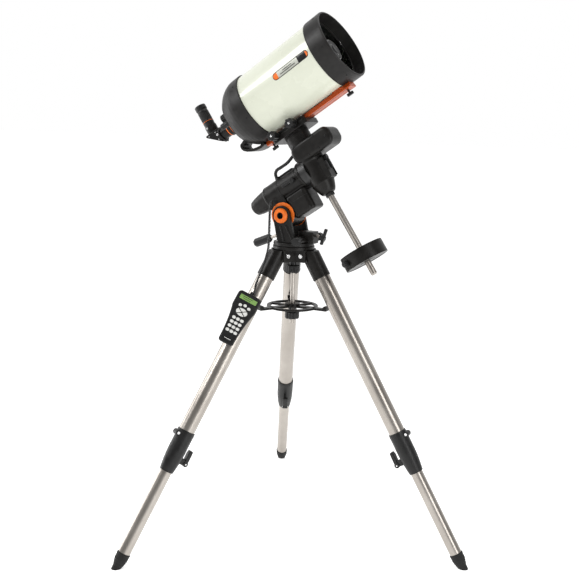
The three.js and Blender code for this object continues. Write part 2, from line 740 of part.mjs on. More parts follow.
function dovetailBar() {
  const top = -TUBE_R - 2.8;
  const bottom = SADDLE_TOP + GAP - TUBE_HEIGHT;
  const foot = [[22, bottom + 4], [22, bottom], [-22, bottom], [-22, bottom + 4]];
  const section = polygon([[-17, top], [17, top], ...foot]);
  const bar = extruded(section, -97, 236).rotateZ(Math.PI / 2).rotateY(Math.PI / 2);
  const clear = cylinder(REAR_CELL.radius + GAP, -200, TUBE_REAR + 0.5, 'x', FINE);
  const front = cylinder(FRONT_CELL.radius + GAP, TUBE_FRONT - 0.5, 300, 'x', FINE);
  const pads = [TUBE_REAR + 20, TUBE_FRONT - 24].map((x) => box([30, 30, 6], [x, 0, top + 2]));
  const bore = cylinder(3.5 + GAP, bottom - 5, bottom + 9, 'z', SMALL);
  const bores = BAR_SCREWS.map((x) => bore.clone().translate(x, 0, 0));
  return cut(join(bar, ...pads), clear, front, cylinder(TUBE_R + GAP, -200, 300, 'x', FINE), ...bores);
}

const BAR_SCREWS = [-84, 216];

/** Safety screw with a T head that hangs below the bar. */
function barScrew(x) {
  const bottom = SADDLE_TOP + GAP - TUBE_HEIGHT;
  const stem = cylinder(3.5, bottom - 12, bottom + 8, 'z', SMALL);
  const head = softBlock(22, 9, 9, 3, 1, [0, 0, bottom - 14]);
  return join(stem, head).translate(x, 0, 0);
}

const FINDER = { radius: 156, angle: 44, rear: -64, front: 132 };

/** The finder, joined here to the two-ringed bracket that carries it. */
function finderScope() {
  const { rear, front, radius, angle } = FINDER;
  const scope = turned(
    [[0, rear + 4], [13, rear + 4], [13, rear], [17, rear], [18.5, rear + 24], [15, rear + 28], [15, rear + 92],
      [22, rear + 112], [22, front - 66], [28, front - 50], [28, front], [25, front], [25, front - 18],
      [0, front - 20]],
    'x',
  ).translate(0, 0, radius);
  const stations = [rear + 50, front - 74];
  const rings = stations.map((x) => cylinder(30, x - 6, x + 6, 'x').translate(0, 0, radius));
  const posts = stations.map((x) => box([12, 18, 20], [x, 0, radius - 36]));
  const foot = box([90, 26, 8], [30, 0, TUBE_R + 7]);
  const whole = join(scope, foot, ...posts, ...rings);
  return cut(whole, cylinder(TUBE_R + GAP, -200, 200, 'x', FINE)).rotateX(-angle * DEGREE);
}

// ---- hand controller ------------------------------------------------------------------------

const CONTROLLER_PLACE = { x: 35.3, y: 26.6, z: 830, turn: 148, lean: -1.5 }; // in the left leg's frame

function handController() {
  const controller = new THREE.Group();
  const { x, y, z, turn, lean } = CONTROLLER_PLACE;
  controller.position.set(x, y, z);
  controller.rotation.set(0, -lean * DEGREE, turn * DEGREE, 'ZYX');
  controller.add(
    part('controller_case', controllerCase(), plastic),
    part('controller_keypad', controllerKeypad(), keys),
  );
  return controller;
}

/** In the controller's own frame: +Z up its long axis, -Y out of its face. */
const CONTROLLER = { length: 168, top: 77, bottom: 50, depth: 27 };

function controllerOutline(inset) {
  const { length, top, bottom } = CONTROLLER;
  const [h, t, b] = [length / 2 - inset, top / 2 - inset, bottom / 2 - inset];
  const outline = new THREE.Shape();
  outline.moveTo(-b + 8, -h);
  outline.lineTo(b - 8, -h);
  outline.quadraticCurveTo(b, -h, b, -h + 10);
  outline.quadraticCurveTo(b + 1, -h * 0.1, t, h * 0.42);
  outline.lineTo(t, h - 12);
  outline.quadraticCurveTo(t, h, t - 12, h);
  outline.lineTo(-t + 12, h);
  outline.quadraticCurveTo(-t, h, -t, h - 12);
  outline.lineTo(-t, h * 0.42);
  outline.quadraticCurveTo(-b - 1, -h * 0.1, -b, -h + 10);
  outline.quadraticCurveTo(-b, -h, -b + 8, -h);
  return outline;
}

function controllerCase() {
  const { depth } = CONTROLLER;
  const options = { depth: depth - 8, bevelThickness: 4, bevelSize: 4, bevelSegments: 2, curveSegments: 5 };
  const shell = weld(new THREE.ExtrudeGeometry(controllerOutline(4), options));
  shell.translate(0, 0, 4).rotateX(Math.PI / 2).translate(0, depth / 2, 0);
  const pocket = box([KEYPAD.width + 2 * GAP, KEYPAD.depth, KEYPAD.height + 2 * GAP], [0, 0, KEYPAD.centre]);
  return cut(shell, pocket.translate(0, -depth / 2 + KEYPAD.depth / 2 - 0.01, 0));
}

const KEYPAD = { width: 41, height: 104, depth: 6, centre: 1 };

function controllerKeypad() {
  const { width, height, depth, centre } = KEYPAD;
  const face = -CONTROLLER.depth / 2;
  const mat = box([width, depth - 3, height], [0, face + depth / 2 - 0.2, centre]);
  return join(mat, box([width - 8, 3, height - 10], [0, face + 0.4, centre]));
}

// ---- cords ----------------------------------------------------------------------------------

const DEC_CABLE_DIAMETER = 11;
const DEC_CABLE = [ // in the polar frame, from the declination motor to the polar housing
  [-37.5, -22, 65],
  [-48, -24, 61],
  [-65, -25, 57],
  [-88, -25, 57],
  [-106, -23, 58],
  [-118, -20, 53],
  [-124, -16, 44],
  [-124.5, -14, 36.5],
];

const CONTROLLER_CORD_DIAMETER = 9; // over the curls
const CONTROLLER_CORD = [ // from the polar housing down to the hand controller
  [-56, -41.5, 1083],
  [-55, -55, 1076],
  [-52, -66, 1047],
  [-48, -75, 1012],
  [-43, -85, 976],
  [-38, -97, 943],
  [-38, -110, 916],
  [-41, -123, 889],
  [-45, -140, 858],
  [-50, -153, 830],
  [-53.5, -157.5, 802],
];

// ---- assembly -----------------------------------------------------------------------------

const telescope = new THREE.Group();
const assembly = new THREE.Group();
assembly.position.x = -PLAN_CENTRE;
telescope.add(assembly);

assembly.add(part('tripod_head', tripodHead(), casting));
for (const side of Object.keys(LEG_AZIMUTHS)) assembly.add(tripodLeg(side));
assembly.add(
  part('mounting_rod', mountingRod(), steel),
  part('leg_brace', legBrace(), casting),
  part('brace_knob', braceKnob(), plastic),
  part('controller_cord', cord(CONTROLLER_CORD, CONTROLLER_CORD_DIAMETER, 8, 16), rubber),
  part('mount_base', mountBase(), casting),
  part('azimuth_screw_near', azimuthScrew(-1), plastic),
  part('azimuth_screw_far', azimuthScrew(1), plastic),
);

function placed(mesh, { from, tilt }) {
  mesh.position.set(...from);
  mesh.rotation.y = -tilt * DEGREE;
  return mesh;
}

assembly.add(
  placed(part('latitude_screw_front', latitudeScrewFront(), plastic), FRONT_SCREW),
  placed(part('latitude_screw_rear', latitudeScrewRear(), plastic), REAR_SCREW),
);

const polar = new THREE.Group();
polar.position.set(AXES_CROSSING.x, 0, AXES_CROSSING.z);
polar.rotation.y = -LATITUDE * DEGREE;
assembly.add(polar);
polar.add(
  part('polar_housing', raHousing(), casting),
  part('polar_motor_cover', raMotorCover(), casting),
  part('polar_clutch_lever', polarClutchLever(), plastic),
  part('latitude_pivot', latitudePivot(), capOrange),
  part('declination_housing', decHousing(), casting),
  part('declination_clutch_lever', declinationClutchLever(), plastic),
  part('declination_cable', cord(DEC_CABLE, DEC_CABLE_DIAMETER, 8, 14), rubber),
  part('declination_motor_cover', decMotorCover(), casting),
  part('saddle', saddle(), casting),
  part('counterweight_shaft', counterweightShaft(), steel),
  part('counterweight', counterweight(), casting),
  part('counterweight_screw', counterweightScrew(), plastic),
);
SADDLE_KNOBS.forEach((x, i) => {
  polar.add(part(`saddle_knob_${i + 1}`, saddleKnob(x), plastic));
});

const tube = new THREE.Group();
tube.position.z = TUBE_HEIGHT;
polar.add(tube);
tube.add(
  part('optical_tube', opticalTube(), ivory),
  part('front_cell', frontCell(), casting),
  part('corrector_plate', correctorPlate(), glass),
  part('secondary_holder', secondaryHolder(), plastic),
  part('primary_mirror', primaryMirror(), mirrorGlass),
  part('rear_cell', rearCell(), casting),
  part('focus_knob', focusKnob(), rubber),
  part('mirror_lock', mirrorLock(), plastic),
  part('carry_handle', carryHandle(), casting),
  part('visual_back', visualBack(), capOrange),
  part('star_diagonal', starDiagonal(), casting),
  part('eyepiece', eyepiece(), plastic),
  part('dovetail_bar', dovetailBar(), burntOrange),
  part('finder_scope', finderScope(), casting),
);
BAR_SCREWS.forEach((x, i) => {
  tube.add(part(`bar_screw_${i + 1}`, barScrew(x), plastic));
});

export default telescope;
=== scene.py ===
"""Schmidt-Cassegrain telescope on a motorised German equatorial mount and a steel tripod.

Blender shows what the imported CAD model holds. Sizes are millimetres, in the frames named below,
and each piece's frame turns them into metres.
"""

import json
import math

import bmesh
import bpy
from mathutils import Matrix, Vector

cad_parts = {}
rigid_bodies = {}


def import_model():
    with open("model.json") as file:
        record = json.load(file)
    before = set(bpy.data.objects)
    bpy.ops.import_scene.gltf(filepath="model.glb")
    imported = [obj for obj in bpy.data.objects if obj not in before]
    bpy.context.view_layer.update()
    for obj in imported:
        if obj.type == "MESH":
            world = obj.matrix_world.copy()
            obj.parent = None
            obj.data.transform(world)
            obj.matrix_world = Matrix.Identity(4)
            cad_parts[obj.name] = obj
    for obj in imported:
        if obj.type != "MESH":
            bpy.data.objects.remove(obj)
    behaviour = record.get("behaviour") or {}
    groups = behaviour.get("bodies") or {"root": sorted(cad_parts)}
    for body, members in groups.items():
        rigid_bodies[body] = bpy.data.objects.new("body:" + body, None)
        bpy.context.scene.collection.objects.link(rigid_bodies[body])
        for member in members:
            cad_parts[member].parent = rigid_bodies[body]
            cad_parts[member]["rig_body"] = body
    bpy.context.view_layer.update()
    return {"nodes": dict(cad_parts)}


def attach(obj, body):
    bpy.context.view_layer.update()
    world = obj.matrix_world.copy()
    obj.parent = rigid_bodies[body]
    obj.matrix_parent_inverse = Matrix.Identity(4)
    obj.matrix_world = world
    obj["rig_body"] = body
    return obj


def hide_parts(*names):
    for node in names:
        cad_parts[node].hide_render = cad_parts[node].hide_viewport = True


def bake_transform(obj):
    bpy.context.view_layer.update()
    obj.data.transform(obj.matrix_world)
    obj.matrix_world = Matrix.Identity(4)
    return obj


# ---- the frame, the camera and the light -----------------------------------------

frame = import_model()
scene = bpy.context.scene

MM = 0.001
LATITUDE, LEG_TILT = 34, 30.7  # degrees
LEG_AZIMUTHS = {"front": 0, "back": 120, "left": 240}
FOOT_RADIUS = 607
AXES_CROSSING = (68, 0, 1190)
TUBE_HEIGHT = 263

PLAN_CENTRE = 125.94  # the middle of the whole in X, from the tripod's vertical axis

CAMERA_PLACE = (1.2949, -2.5204, 1.3410)  # metres from the foot of the tripod's axis
CAMERA_HEADING, CAMERA_DOWN, CAMERA_ROLL = 27.4, 10.79, 1.3
CAMERA_LENS = 56.18
BACKDROP = (-0.46, 0.888, 0)  # the way from the camera to the backdrop, level


def turned(degrees, axis):
    return Matrix.Rotation(math.radians(degrees), 4, axis)


WORLD = Matrix.Scale(MM, 4) @ Matrix.Translation((-PLAN_CENTRE, 0, 0))
POLAR = WORLD @ Matrix.Translation(AXES_CROSSING) @ turned(-LATITUDE, "Y")
TUBE = POLAR @ Matrix.Translation((0, 0, TUBE_HEIGHT))


def stand(azimuth):
    """A frame on the tripod's axis whose X points towards one leg."""
    return WORLD @ turned(azimuth, "Z")


def leg_frame(side):
    """Z runs up the leg from its foot tip, and X points away from the tripod's axis."""
    lean = turned(-LEG_TILT, "Y")
    return stand(LEG_AZIMUTHS[side]) @ Matrix.Translation((FOOT_RADIUS, 0, 0)) @ lean


def make_camera():
    camera = bpy.data.objects.new("camera", bpy.data.cameras.new("camera"))
    scene.collection.objects.link(camera)
    heading = turned(CAMERA_HEADING, "Z")
    pitch = turned(90 - CAMERA_DOWN, "X")
    roll = turned(CAMERA_ROLL, "Z")
    place = Matrix.Translation((CAMERA_PLACE[0] - PLAN_CENTRE * MM, *CAMERA_PLACE[1:]))
    camera.matrix_world = place @ (heading @ pitch) @ roll
    camera.data.lens = CAMERA_LENS
    camera.data.sensor_width = 36
    scene.camera = camera


def area_light(name, place, target, size, power):
    light = bpy.data.objects.new(name, bpy.data.lights.new(name, "AREA"))
    scene.collection.objects.link(light)
    light.location = place
    light.rotation_euler = (Vector(target) - Vector(place)).to_track_quat("-Z", "Y").to_euler()
    light.data.shape = "RECTANGLE"
    light.data.size, light.data.size_y = size
    light.data.energy = power


def make_lights():
    middle = (-0.1, 0, 1.1)
    area_light("key", (-2.4, -2.2, 3.0), middle, (1.3, 1.3), 62)
    area_light("strip", (2.4, -1.2, 1.5), middle, (0.8, 2.6), 30)
    area_light("top", (0.0, 0.3, 4.0), middle, (2.2, 2.2), 34)
    area_light("left_strip", (-2.6, -0.4, 1.2), middle, (0.7, 2.4), 20)
    make_studio()
    scene.view_settings.view_transform = "Standard"


def make_studio():
    """A bright backdrop beyond the telescope that falls away to a dim room on the near side."""
    world = bpy.data.worlds.new("studio")
    scene.world = world
    world.use_nodes = True
    nodes, links = world.node_tree.nodes, world.node_tree.links
    sky = nodes["Background"]
    sky.inputs["Color"].default_value = (1.0, 1.0, 1.0, 1)
    where = nodes.new("ShaderNodeTexCoord")
    beyond = nodes.new("ShaderNodeVectorMath")
    beyond.operation = "DOT_PRODUCT"
    beyond.inputs[1].default_value = BACKDROP
    links.new(where.outputs["Generated"], beyond.inputs[0])
    fall = nodes.new("ShaderNodeMapRange")
    fall.inputs["From Min"].default_value = -0.3
    fall.inputs["From Max"].default_value = 0.75
    fall.inputs["To Min"].default_value = 0.3
    fall.inputs["To Max"].default_value = 1.0
    links.new(beyond.outputs["Value"], fall.inputs["Value"])
    links.new(fall.outputs["Result"], sky.inputs["Strength"])


make_camera()
make_lights()

# ---- materials -------------------------------------------------------------------

PATCH_RANGE = (0.3, 0.7)  # the stretch of the noise that a surface's colour and roughness run over


def material(name, low, high, rough, metal=0.0, grain=60, bump=0.0, pores=900, coat=0.0, specular=0.32):
    """A surface whose colour runs from low to high and whose roughness runs between two values in
    uneven patches, with a fine relief of its own. Grain and pores count features per metre."""
    made = bpy.data.materials.new(name)
    made.use_nodes = True
    nodes, links = made.node_tree.nodes, made.node_tree.links
    shader = nodes["Principled BSDF"]
    where = nodes.new("ShaderNodeTexCoord")
    patches = nodes.new("ShaderNodeTexNoise")
    patches.inputs["Scale"].default_value = grain
    patches.inputs["Detail"].default_value = 6
    links.new(where.outputs["Object"], patches.inputs["Vector"])
    ramp = nodes.new("ShaderNodeValToRGB")
    for end, place, colour in zip(ramp.color_ramp.elements, PATCH_RANGE, (low, high)):
        end.position = place
        end.color = (*colour, 1)
    links.new(patches.outputs["Fac"], ramp.inputs["Fac"])
    links.new(ramp.outputs["Color"], shader.inputs["Base Color"])
    spread = nodes.new("ShaderNodeMapRange")
    spread.inputs["From Min"].default_value, spread.inputs["From Max"].default_value = PATCH_RANGE
    spread.inputs["To Min"].default_value, spread.inputs["To Max"].default_value = rough
    links.new(patches.outputs["Fac"], spread.inputs["Value"])
    links.new(spread.outputs["Result"], shader.inputs["Roughness"])
    shader.inputs["Metallic"].default_value = metal
    shader.inputs["Coat Weight"].default_value = coat
    shader.inputs["Specular IOR Level"].default_value = specular
    if bump:
        relief = nodes.new("ShaderNodeTexNoise")
        relief.inputs["Scale"].default_value = pores
        relief.inputs["Detail"].default_value = 3
        links.new(where.outputs["Object"], relief.inputs["Vector"])
        height = nodes.new("ShaderNodeBump")
        height.inputs["Strength"].default_value = 0.35
        height.inputs["Distance"].default_value = bump
        links.new(relief.outputs["Fac"], height.inputs["Height"])
        links.new(height.outputs["Normal"], shader.inputs["Normal"])
    return made


def glass(name, tint, rough):
    made = material(name, tint, tint, (rough, rough * 2), grain=20)
    shader = made.node_tree.nodes["Principled BSDF"]
    shader.inputs["Transmission Weight"].default_value = 1.0
    shader.inputs["IOR"].default_value = 1.02
    return made


CASTING = material(
    "satin_black_casting",
    (0.005, 0.0045, 0.004),
    (0.010, 0.009, 0.008),
    (0.3, 0.42),
    bump=2e-4,
    pores=1400,
    specular=0.22,
)
CELL = material(
    "fine_black_cell",
    (0.010, 0.0095, 0.009),
    (0.016, 0.015, 0.0145),
    (0.36, 0.46),
    bump=1.5e-4,
    pores=2200,
    specular=0.22,
)
PLASTIC = material(
    "black_plastic", (0.006, 0.006, 0.006), (0.011, 0.011, 0.011), (0.32, 0.48), bump=2e-4, pores=2600
)
GLOSS = material(
    "gloss_black", (0.008, 0.008, 0.009), (0.013, 0.013, 0.014), (0.16, 0.26), grain=25, coat=0.4
)
RUBBER = material(
    "black_rubber", (0.008, 0.008, 0.008), (0.015, 0.015, 0.014), (0.62, 0.8), bump=3e-4, pores=1800
)
STEEL = material(
    "brushed_stainless", (0.34, 0.31, 0.28), (0.44, 0.41, 0.375), (0.27, 0.34), metal=1.0, grain=9
)
CHROME = material("bright_bolt", (0.62, 0.62, 0.62), (0.8, 0.8, 0.8), (0.12, 0.24), metal=1.0, grain=90)
IVORY = material(
    "ivory_paint",
    (0.585, 0.605, 0.50),
    (0.625, 0.645, 0.54),
    (0.24, 0.32),
    grain=8,
    bump=4e-5,
    pores=700,
    coat=0.5,
)
ORANGE = material(
    "orange_anodised", (0.38, 0.050, 0.006), (0.47, 0.070, 0.008), (0.26, 0.36), metal=0.35, grain=40
)
CAP = material("orange_cap", (0.66, 0.125, 0.008), (0.76, 0.155, 0.012), (0.34, 0.46), grain=70, bump=1e-4)
DARK = material("flat_black_inside", (0.004, 0.004, 0.004), (0.008, 0.008, 0.008), (0.7, 0.9), grain=40)
MIRROR = material("mirror_coating", (0.86, 0.88, 0.9), (0.9, 0.91, 0.92), (0.02, 0.05), metal=1.0, grain=12)
KEYS = material("white_keys", (0.62, 0.62, 0.59), (0.72, 0.72, 0.70), (0.45, 0.6), grain=200, bump=1e-4)
SCREEN = material("green_screen", (0.16, 0.30, 0.075), (0.24, 0.40, 0.12), (0.12, 0.2), grain=500, coat=0.6)
FLANGE = material(
    "grey_flange", (0.035, 0.035, 0.035), (0.06, 0.06, 0.06), (0.3, 0.45), metal=0.8, grain=60
)
PALE = material("badge_silver", (0.42, 0.43, 0.38), (0.50, 0.51, 0.46), (0.25, 0.35), metal=0.3, grain=50)
SPECKLE = material("cord_black", (0.008, 0.008, 0.008), (0.05, 0.05, 0.05), (0.15, 0.3), grain=700)
LENS = glass("clear_glass", (0.93, 0.97, 0.96), 0.01)
FLOOR = material("pale_floor", (0.86, 0.86, 0.85), (0.88, 0.88, 0.88), (0.85, 0.95), grain=3)
FLOOR_SHADER = FLOOR.node_tree.nodes["Principled BSDF"]
FLOOR_SHADER.inputs["Emission Color"].default_value = (1, 1, 1, 1)
FLOOR_SHADER.inputs["Emission Strength"].default_value = 0.6

# ---- shapes: each returns a bmesh in millimetres ---------------------------------

TURN = {
    "z": Matrix.Identity(4),
    "x": turned(90, "Y"),
    "y": turned(-90, "X"),
}


def eased(profile, radius=0.8, steps=3):
    """The profile with its inner corners rounded."""
    loop = profile[0] == profile[-1]
    made = [] if loop else [profile[0]]
    count = len(profile)
    for i in range(0 if loop else 1, count - 1):
        here = Vector(profile[i])
        before = Vector(profile[i - 1] if i else profile[-2])
        after = Vector(profile[i + 1])
        if here.x < 1e-6:
            made.append(tuple(here))
            continue
        reach = min(radius, (before - here).length * 0.45, (after - here).length * 0.45)
        a = here + (before - here).normalized() * reach
        b = here + (after - here).normalized() * reach
        for k in range(steps + 1):
            t = k / steps
            made.append(tuple(a * (1 - t) ** 2 + here * (2 * t * (1 - t)) + b * t * t))
    made.append(made[0] if loop else profile[-1])
    return made


def lathe(profile, axis="z", segments=96, ease=0.8, flutes=0, depth=0.0, rim=0.0):
    """A solid of revolution from [radius, height] pairs. Flutes wave its outline outside the rim radius."""
    shape = bmesh.new()
    points = eased(profile, ease) if ease else profile
    loop = points[0] == points[-1]
    rows = []
    for radius, height in points[:-1] if loop else points:
        if radius < 1e-6:
            rows.append([shape.verts.new((0, 0, height))])
            continue
        row = []
        for i in range(segments):
            angle = 2 * math.pi * i / segments
            r = radius
            if flutes and radius > rim:
                r -= depth * (0.5 - 0.5 * math.cos(flutes * angle)) ** 2
            row.append(shape.verts.new((r * math.cos(angle), r * math.sin(angle), height)))
        rows.append(row)
    pairs = list(zip(rows, rows[1:]))
    if loop:
        pairs.append((rows[-1], rows[0]))
    for low, high in pairs:
        for i in range(segments):
            k = (i + 1) % segments
            corners = [low[i % len(low)], low[k % len(low)], high[k % len(high)], high[i % len(high)]]
            corners = list(dict.fromkeys(corners))
            if len(corners) > 2:
                shape.faces.new(corners)
    bmesh.ops.recalc_face_normals(shape, faces=shape.faces)
    shape.transform(TURN[axis])
    return shape


def rod(radius, low, high, axis="z", segments=48, ease=0.6):
    return lathe([(0, low), (radius, low), (radius, high), (0, high)], axis, segments, ease)


def pipe(outer, inner, low, high, axis="z", segments=96, ease=0.6):
    profile = [(inner, low), (outer, low), (outer, high), (inner, high), (inner, low)]
    return lathe(profile, axis, segments, ease)


def softened(shape, bevel, segments=3, sharper_than=25):
    edges = [
        e
        for e in shape.edges if len(e.link_faces) == 2 and e.calc_face_angle(0) > math.radians(sharper_than)
    ]
    bmesh.ops.bevel(
        shape, geom=edges, offset=bevel, segments=segments, profile=0.6, affect="EDGES", clamp_overlap=True
    )
    return shape


def prism(outline, low, high, bevel=1.0, upright="z", segments=3):
    """An extruded outline. Upright "y" takes outline pairs as X and Z, between two Y stations."""
    shape = bmesh.new()
    lower = [shape.verts.new((x, y, low)) for x, y in outline]
    upper = [shape.verts.new((x, y, high)) for x, y in outline]
    shape.faces.new(lower)
    shape.faces.new(upper)
    for i in range(len(outline)):
        k = (i + 1) % len(outline)
        shape.faces.new((lower[i], lower[k], upper[k], upper[i]))
    bmesh.ops.recalc_face_normals(shape, faces=shape.faces)
    if bevel:
        softened(shape, bevel, segments)
    if upright == "y":
        shape.transform(Matrix(((1, 0, 0, 0), (0, 0, 1, 0), (0, 1, 0, 0), (0, 0, 0, 1))))
        bmesh.ops.reverse_faces(shape, faces=shape.faces)
    return shape


def block(size, centre, bevel=1.5, segments=3):
    shape = bmesh.new()
    bmesh.ops.create_cube(shape, size=1, matrix=Matrix.Diagonal((*size, 1)))
    if bevel:
        softened(shape, bevel, segments)
    shape.transform(Matrix.Translation(centre))
    return shape


def arc(x, y, radius, start, end, steps=12):
    """Points round part of a circle; the angles are in degrees."""
    angles = [math.radians(start + (end - start) * i / steps) for i in range(steps + 1)]
    return [(x + radius * math.cos(a), y + radius * math.sin(a)) for a in angles]


def rounded(width, height, radius, steps=8):
    w, h = width / 2 - radius, height / 2 - radius
    corners = [(w, h, 0), (-w, h, 90), (-w, -h, 180), (w, -h, 270)]
    return [p for x, y, turn in corners for p in arc(x, y, radius, turn, turn + 90, steps)]


def cover(width, depth, height, radius, bevel, centre):
    """A moulded box with round corners in plan and well rounded ends."""
    shape = prism(rounded(width, depth, radius), -height / 2, height / 2, 0)
    rims = [e for e in shape.edges if abs(e.verts[0].co.z - e.verts[1].co.z) < 1e-6]
    bmesh.ops.bevel(
        shape, geom=rims, offset=bevel, segments=5, profile=0.55, affect="EDGES", clamp_overlap=True
    )
    shape.transform(Matrix.Translation(centre))
    return shape


def sweep(path, radius, sides=12, ribs=None):
    """A round bar along the path's points, with rounded ends; ribs(i) scales the radius at point i."""
    shape = bmesh.new()
    points = [Vector(p) for p in path]
    last = len(points) - 1
    tangent = (points[1] - points[0]).normalized()
    side = tangent.orthogonal().normalized()
    rings = []
    for i, point in enumerate(points):
        ahead = (points[min(i + 1, last)] - points[max(i - 1, 0)]).normalized()
        side = (side - ahead * side.dot(ahead)).normalized()
        other = ahead.cross(side)
        r = radius * (ribs(i) if ribs else 1)
        angles = [2 * math.pi * k / sides for k in range(sides)]
        rings.append(
            [shape.verts.new(point + side * (r * math.cos(a)) + other * (r * math.sin(a))) for a in angles]
        )
    for low, high in zip(rings, rings[1:]):
        for k in range(sides):
            n = (k + 1) % sides
            shape.faces.new((low[k], low[n], high[n], high[k]))
    shape.faces.new(rings[0])
    shape.faces.new(rings[-1])
    bmesh.ops.recalc_face_normals(shape, faces=shape.faces)
    return shape


def moved(shape, place):
    if not isinstance(place, Matrix):
        place = Matrix.Translation(place)
    shape.transform(place)
    if place.determinant() < 0:
        bmesh.ops.reverse_faces(shape, faces=shape.faces)
    return shape


def all_moved(shapes, place):
    return [moved(shape, place) for shape in shapes]


def facing(shape, side):
    """The shape as drawn for the far side, or mirrored in Y for the near one."""
    return moved(shape, Matrix.Scale(-1, 4, (0, 1, 0))) if side < 0 else shape


def spun(shape, degrees, axis="Z"):
    return moved(shape, turned(degrees, axis))


def carve(shape, *cutters):
    """The shape less the cutters."""
    made = as_object("carving", shape)
    for cutter in cutters:
        tool = as_object("cutter", cutter)
        cut = made.modifiers.new("cut", "BOOLEAN")
        cut.operation, cut.solver, cut.object = "DIFFERENCE", "EXACT", tool
        bpy.context.view_layer.update()
        evaluated = made.evaluated_get(bpy.context.evaluated_depsgraph_get())
        result = bmesh.new()
        result.from_mesh(evaluated.to_mesh())
        evaluated.to_mesh_clear()
        made.modifiers.clear()
        bpy.data.objects.remove(tool)
        result.to_mesh(made.data)
        result.free()
    result = bmesh.new()
    result.from_mesh(made.data)
    bpy.data.objects.remove(made)
    return result


def as_object(name, shape):
    mesh = bpy.data.meshes.new(name)
    shape.to_mesh(mesh)
    shape.free()
    made = bpy.data.objects.new(name, mesh)
    scene.collection.objects.link(made)
    return made


def piece(name, place, *parts, body=None, slot=None, crease=38):
    """One visible piece, from (material, shape, shape ...) groups in the given frame. Without a body
    it rides on its CAD node's own; False leaves it unattached."""
    whole = bmesh.new()
    mesh = bpy.data.meshes.new(name)
    for index, (finish, *shapes) in enumerate(parts):
        mesh.materials.append(finish)
        for shape in shapes:
            for face in shape.faces:
                face.material_index = index
            scratch = bpy.data.meshes.new("scratch")
            shape.to_mesh(scratch)
            shape.free()
            whole.from_mesh(scratch)
            bpy.data.meshes.remove(scratch)
    whole.transform(place)
    if place.determinant() < 0:
        bmesh.ops.reverse_faces(whole, faces=whole.faces)
    for face in whole.faces:
        face.smooth = True
    for edge in whole.edges:
        if len(edge.link_faces) == 2:
            edge.smooth = edge.calc_face_angle(0) < math.radians(crease)
    whole.to_mesh(mesh)
    whole.free()
    made = bpy.data.objects.new(name, mesh)
    scene.collection.objects.link(made)
    weighted = made.modifiers.new("weighted_normals", "WEIGHTED_NORMAL")
    weighted.keep_sharp = True
    node = name.removesuffix("_visual")
    if body is None:
        body = frame["nodes"][node]["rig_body"]
    if body:
        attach(made, body)
    if node in frame["nodes"]:
        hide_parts(node)
    return made


def visual(node, place, *parts, slot="black_casting"):
    return piece(f"{node}_visual", place, *parts, slot=slot)


def bolt(radius, height, place, axis="z"):
    """A cap screw head with a socket, its seat at the given place, standing along the axis."""
    socket, floor = radius * 0.45, height * 0.5
    profile = [(0, 0), (radius, 0), (radius, height), (socket, height), (socket, floor), (0, floor)]
    return moved(lathe(profile, axis, 24, radius * 0.15), place)


# ---- cords -----------------------------------------------------------------------

DECLINATION_CABLE = [
    (-37.5, -22, 65),
    (-48, -24, 61),
    (-65, -25, 57),
    (-88, -25, 57),
    (-106, -23, 58),
    (-118, -20, 53),
    (-124, -16, 44),
    (-124.5, -14, 36.5),
]
CONTROLLER_CORD = [
    (-56, -41.5, 1083),
    (-55, -55, 1076),
    (-52, -66, 1047),
    (-48, -75, 1012),
    (-43, -85, 976),
    (-38, -97, 943),
    (-38, -110, 916),
    (-41, -123, 889),
    (-45, -140, 858),
    (-50, -153, 830),
    (-53.5, -157.5, 802),
]


def smooth_path(points, spacing):
    """Points every so many millimetres along a Catmull-Rom curve through the given ones."""
    known = [Vector(p) for p in points]
    known = [known[0] * 2 - known[1], *known, known[-1] * 2 - known[-2]]
    fine = []
    for a, b, c, d in zip(known, known[1:], known[2:], known[3:]):
        for i in range(24):
            t = i / 24
            bend, twist = 2 * a - 5 * b + 4 * c - d, 3 * b - a - 3 * c + d
            fine.append(0.5 * (2 * b + (c - a) * t + bend * t**2 + twist * t**3))
    fine.append(known[-2])
    total = sum((b - a).length for a, b in zip(fine, fine[1:]))
    count = max(2, round(total / spacing))
    made, gone, index = [fine[0]], 0.0, 0
    for i in range(1, count):
        target = total * i / count
        while gone + (fine[index + 1] - fine[index]).length < target:
            gone += (fine[index + 1] - fine[index]).length
            index += 1
        step = fine[index + 1] - fine[index]
        made.append(fine[index] + step * ((target - gone) / step.length))
    made.append(fine[-1])
    return made, total


def coiled(points, radius, pitch, steps):
    """A helix round the curve, which closes to the curve itself at both ends."""
    line, total = smooth_path(points, pitch / steps)
    tangent = (line[1] - line[0]).normalized()
    side = tangent.orthogonal().normalized()
    last = len(line) - 1
    made = []
    for i, point in enumerate(line):
        ahead = (line[min(i + 1, last)] - line[max(i - 1, 0)]).normalized()
        side = (side - ahead * side.dot(ahead)).normalized()
        other = ahead.cross(side)
        near_end = min(1.0, i / (2 * steps), (last - i) / (2 * steps))
        angle = 2 * math.pi * i / steps
        made.append(point + (side * math.cos(angle) + other * math.sin(angle)) * radius * near_end)
    return made


def cord_piece(node, path, diameter, finish, place, sides, ribs=None):
    strand = sweep(path, diameter / 2, sides, ribs)
    made = piece(f"{node}_visual", place, (finish, strand), body=False, crease=80)
    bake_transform(made)


def make_cords():
    path, _ = smooth_path(DECLINATION_CABLE, 1.6)
    cord_piece(
        "declination_cable",
        path,
        10.4,
        RUBBER,
        POLAR,
        sides=20,
        ribs=lambda i: 1.0 if i % 4 < 2 else 0.9,
    )
    curl = coiled(CONTROLLER_CORD, 2.7, 4.5, 14)
    cord_piece(
        "controller_cord",
        curl,
        3.6,
        SPECKLE,
        WORLD,
        sides=8,
    )


make_cords()

# ---- tripod ----------------------------------------------------------------------


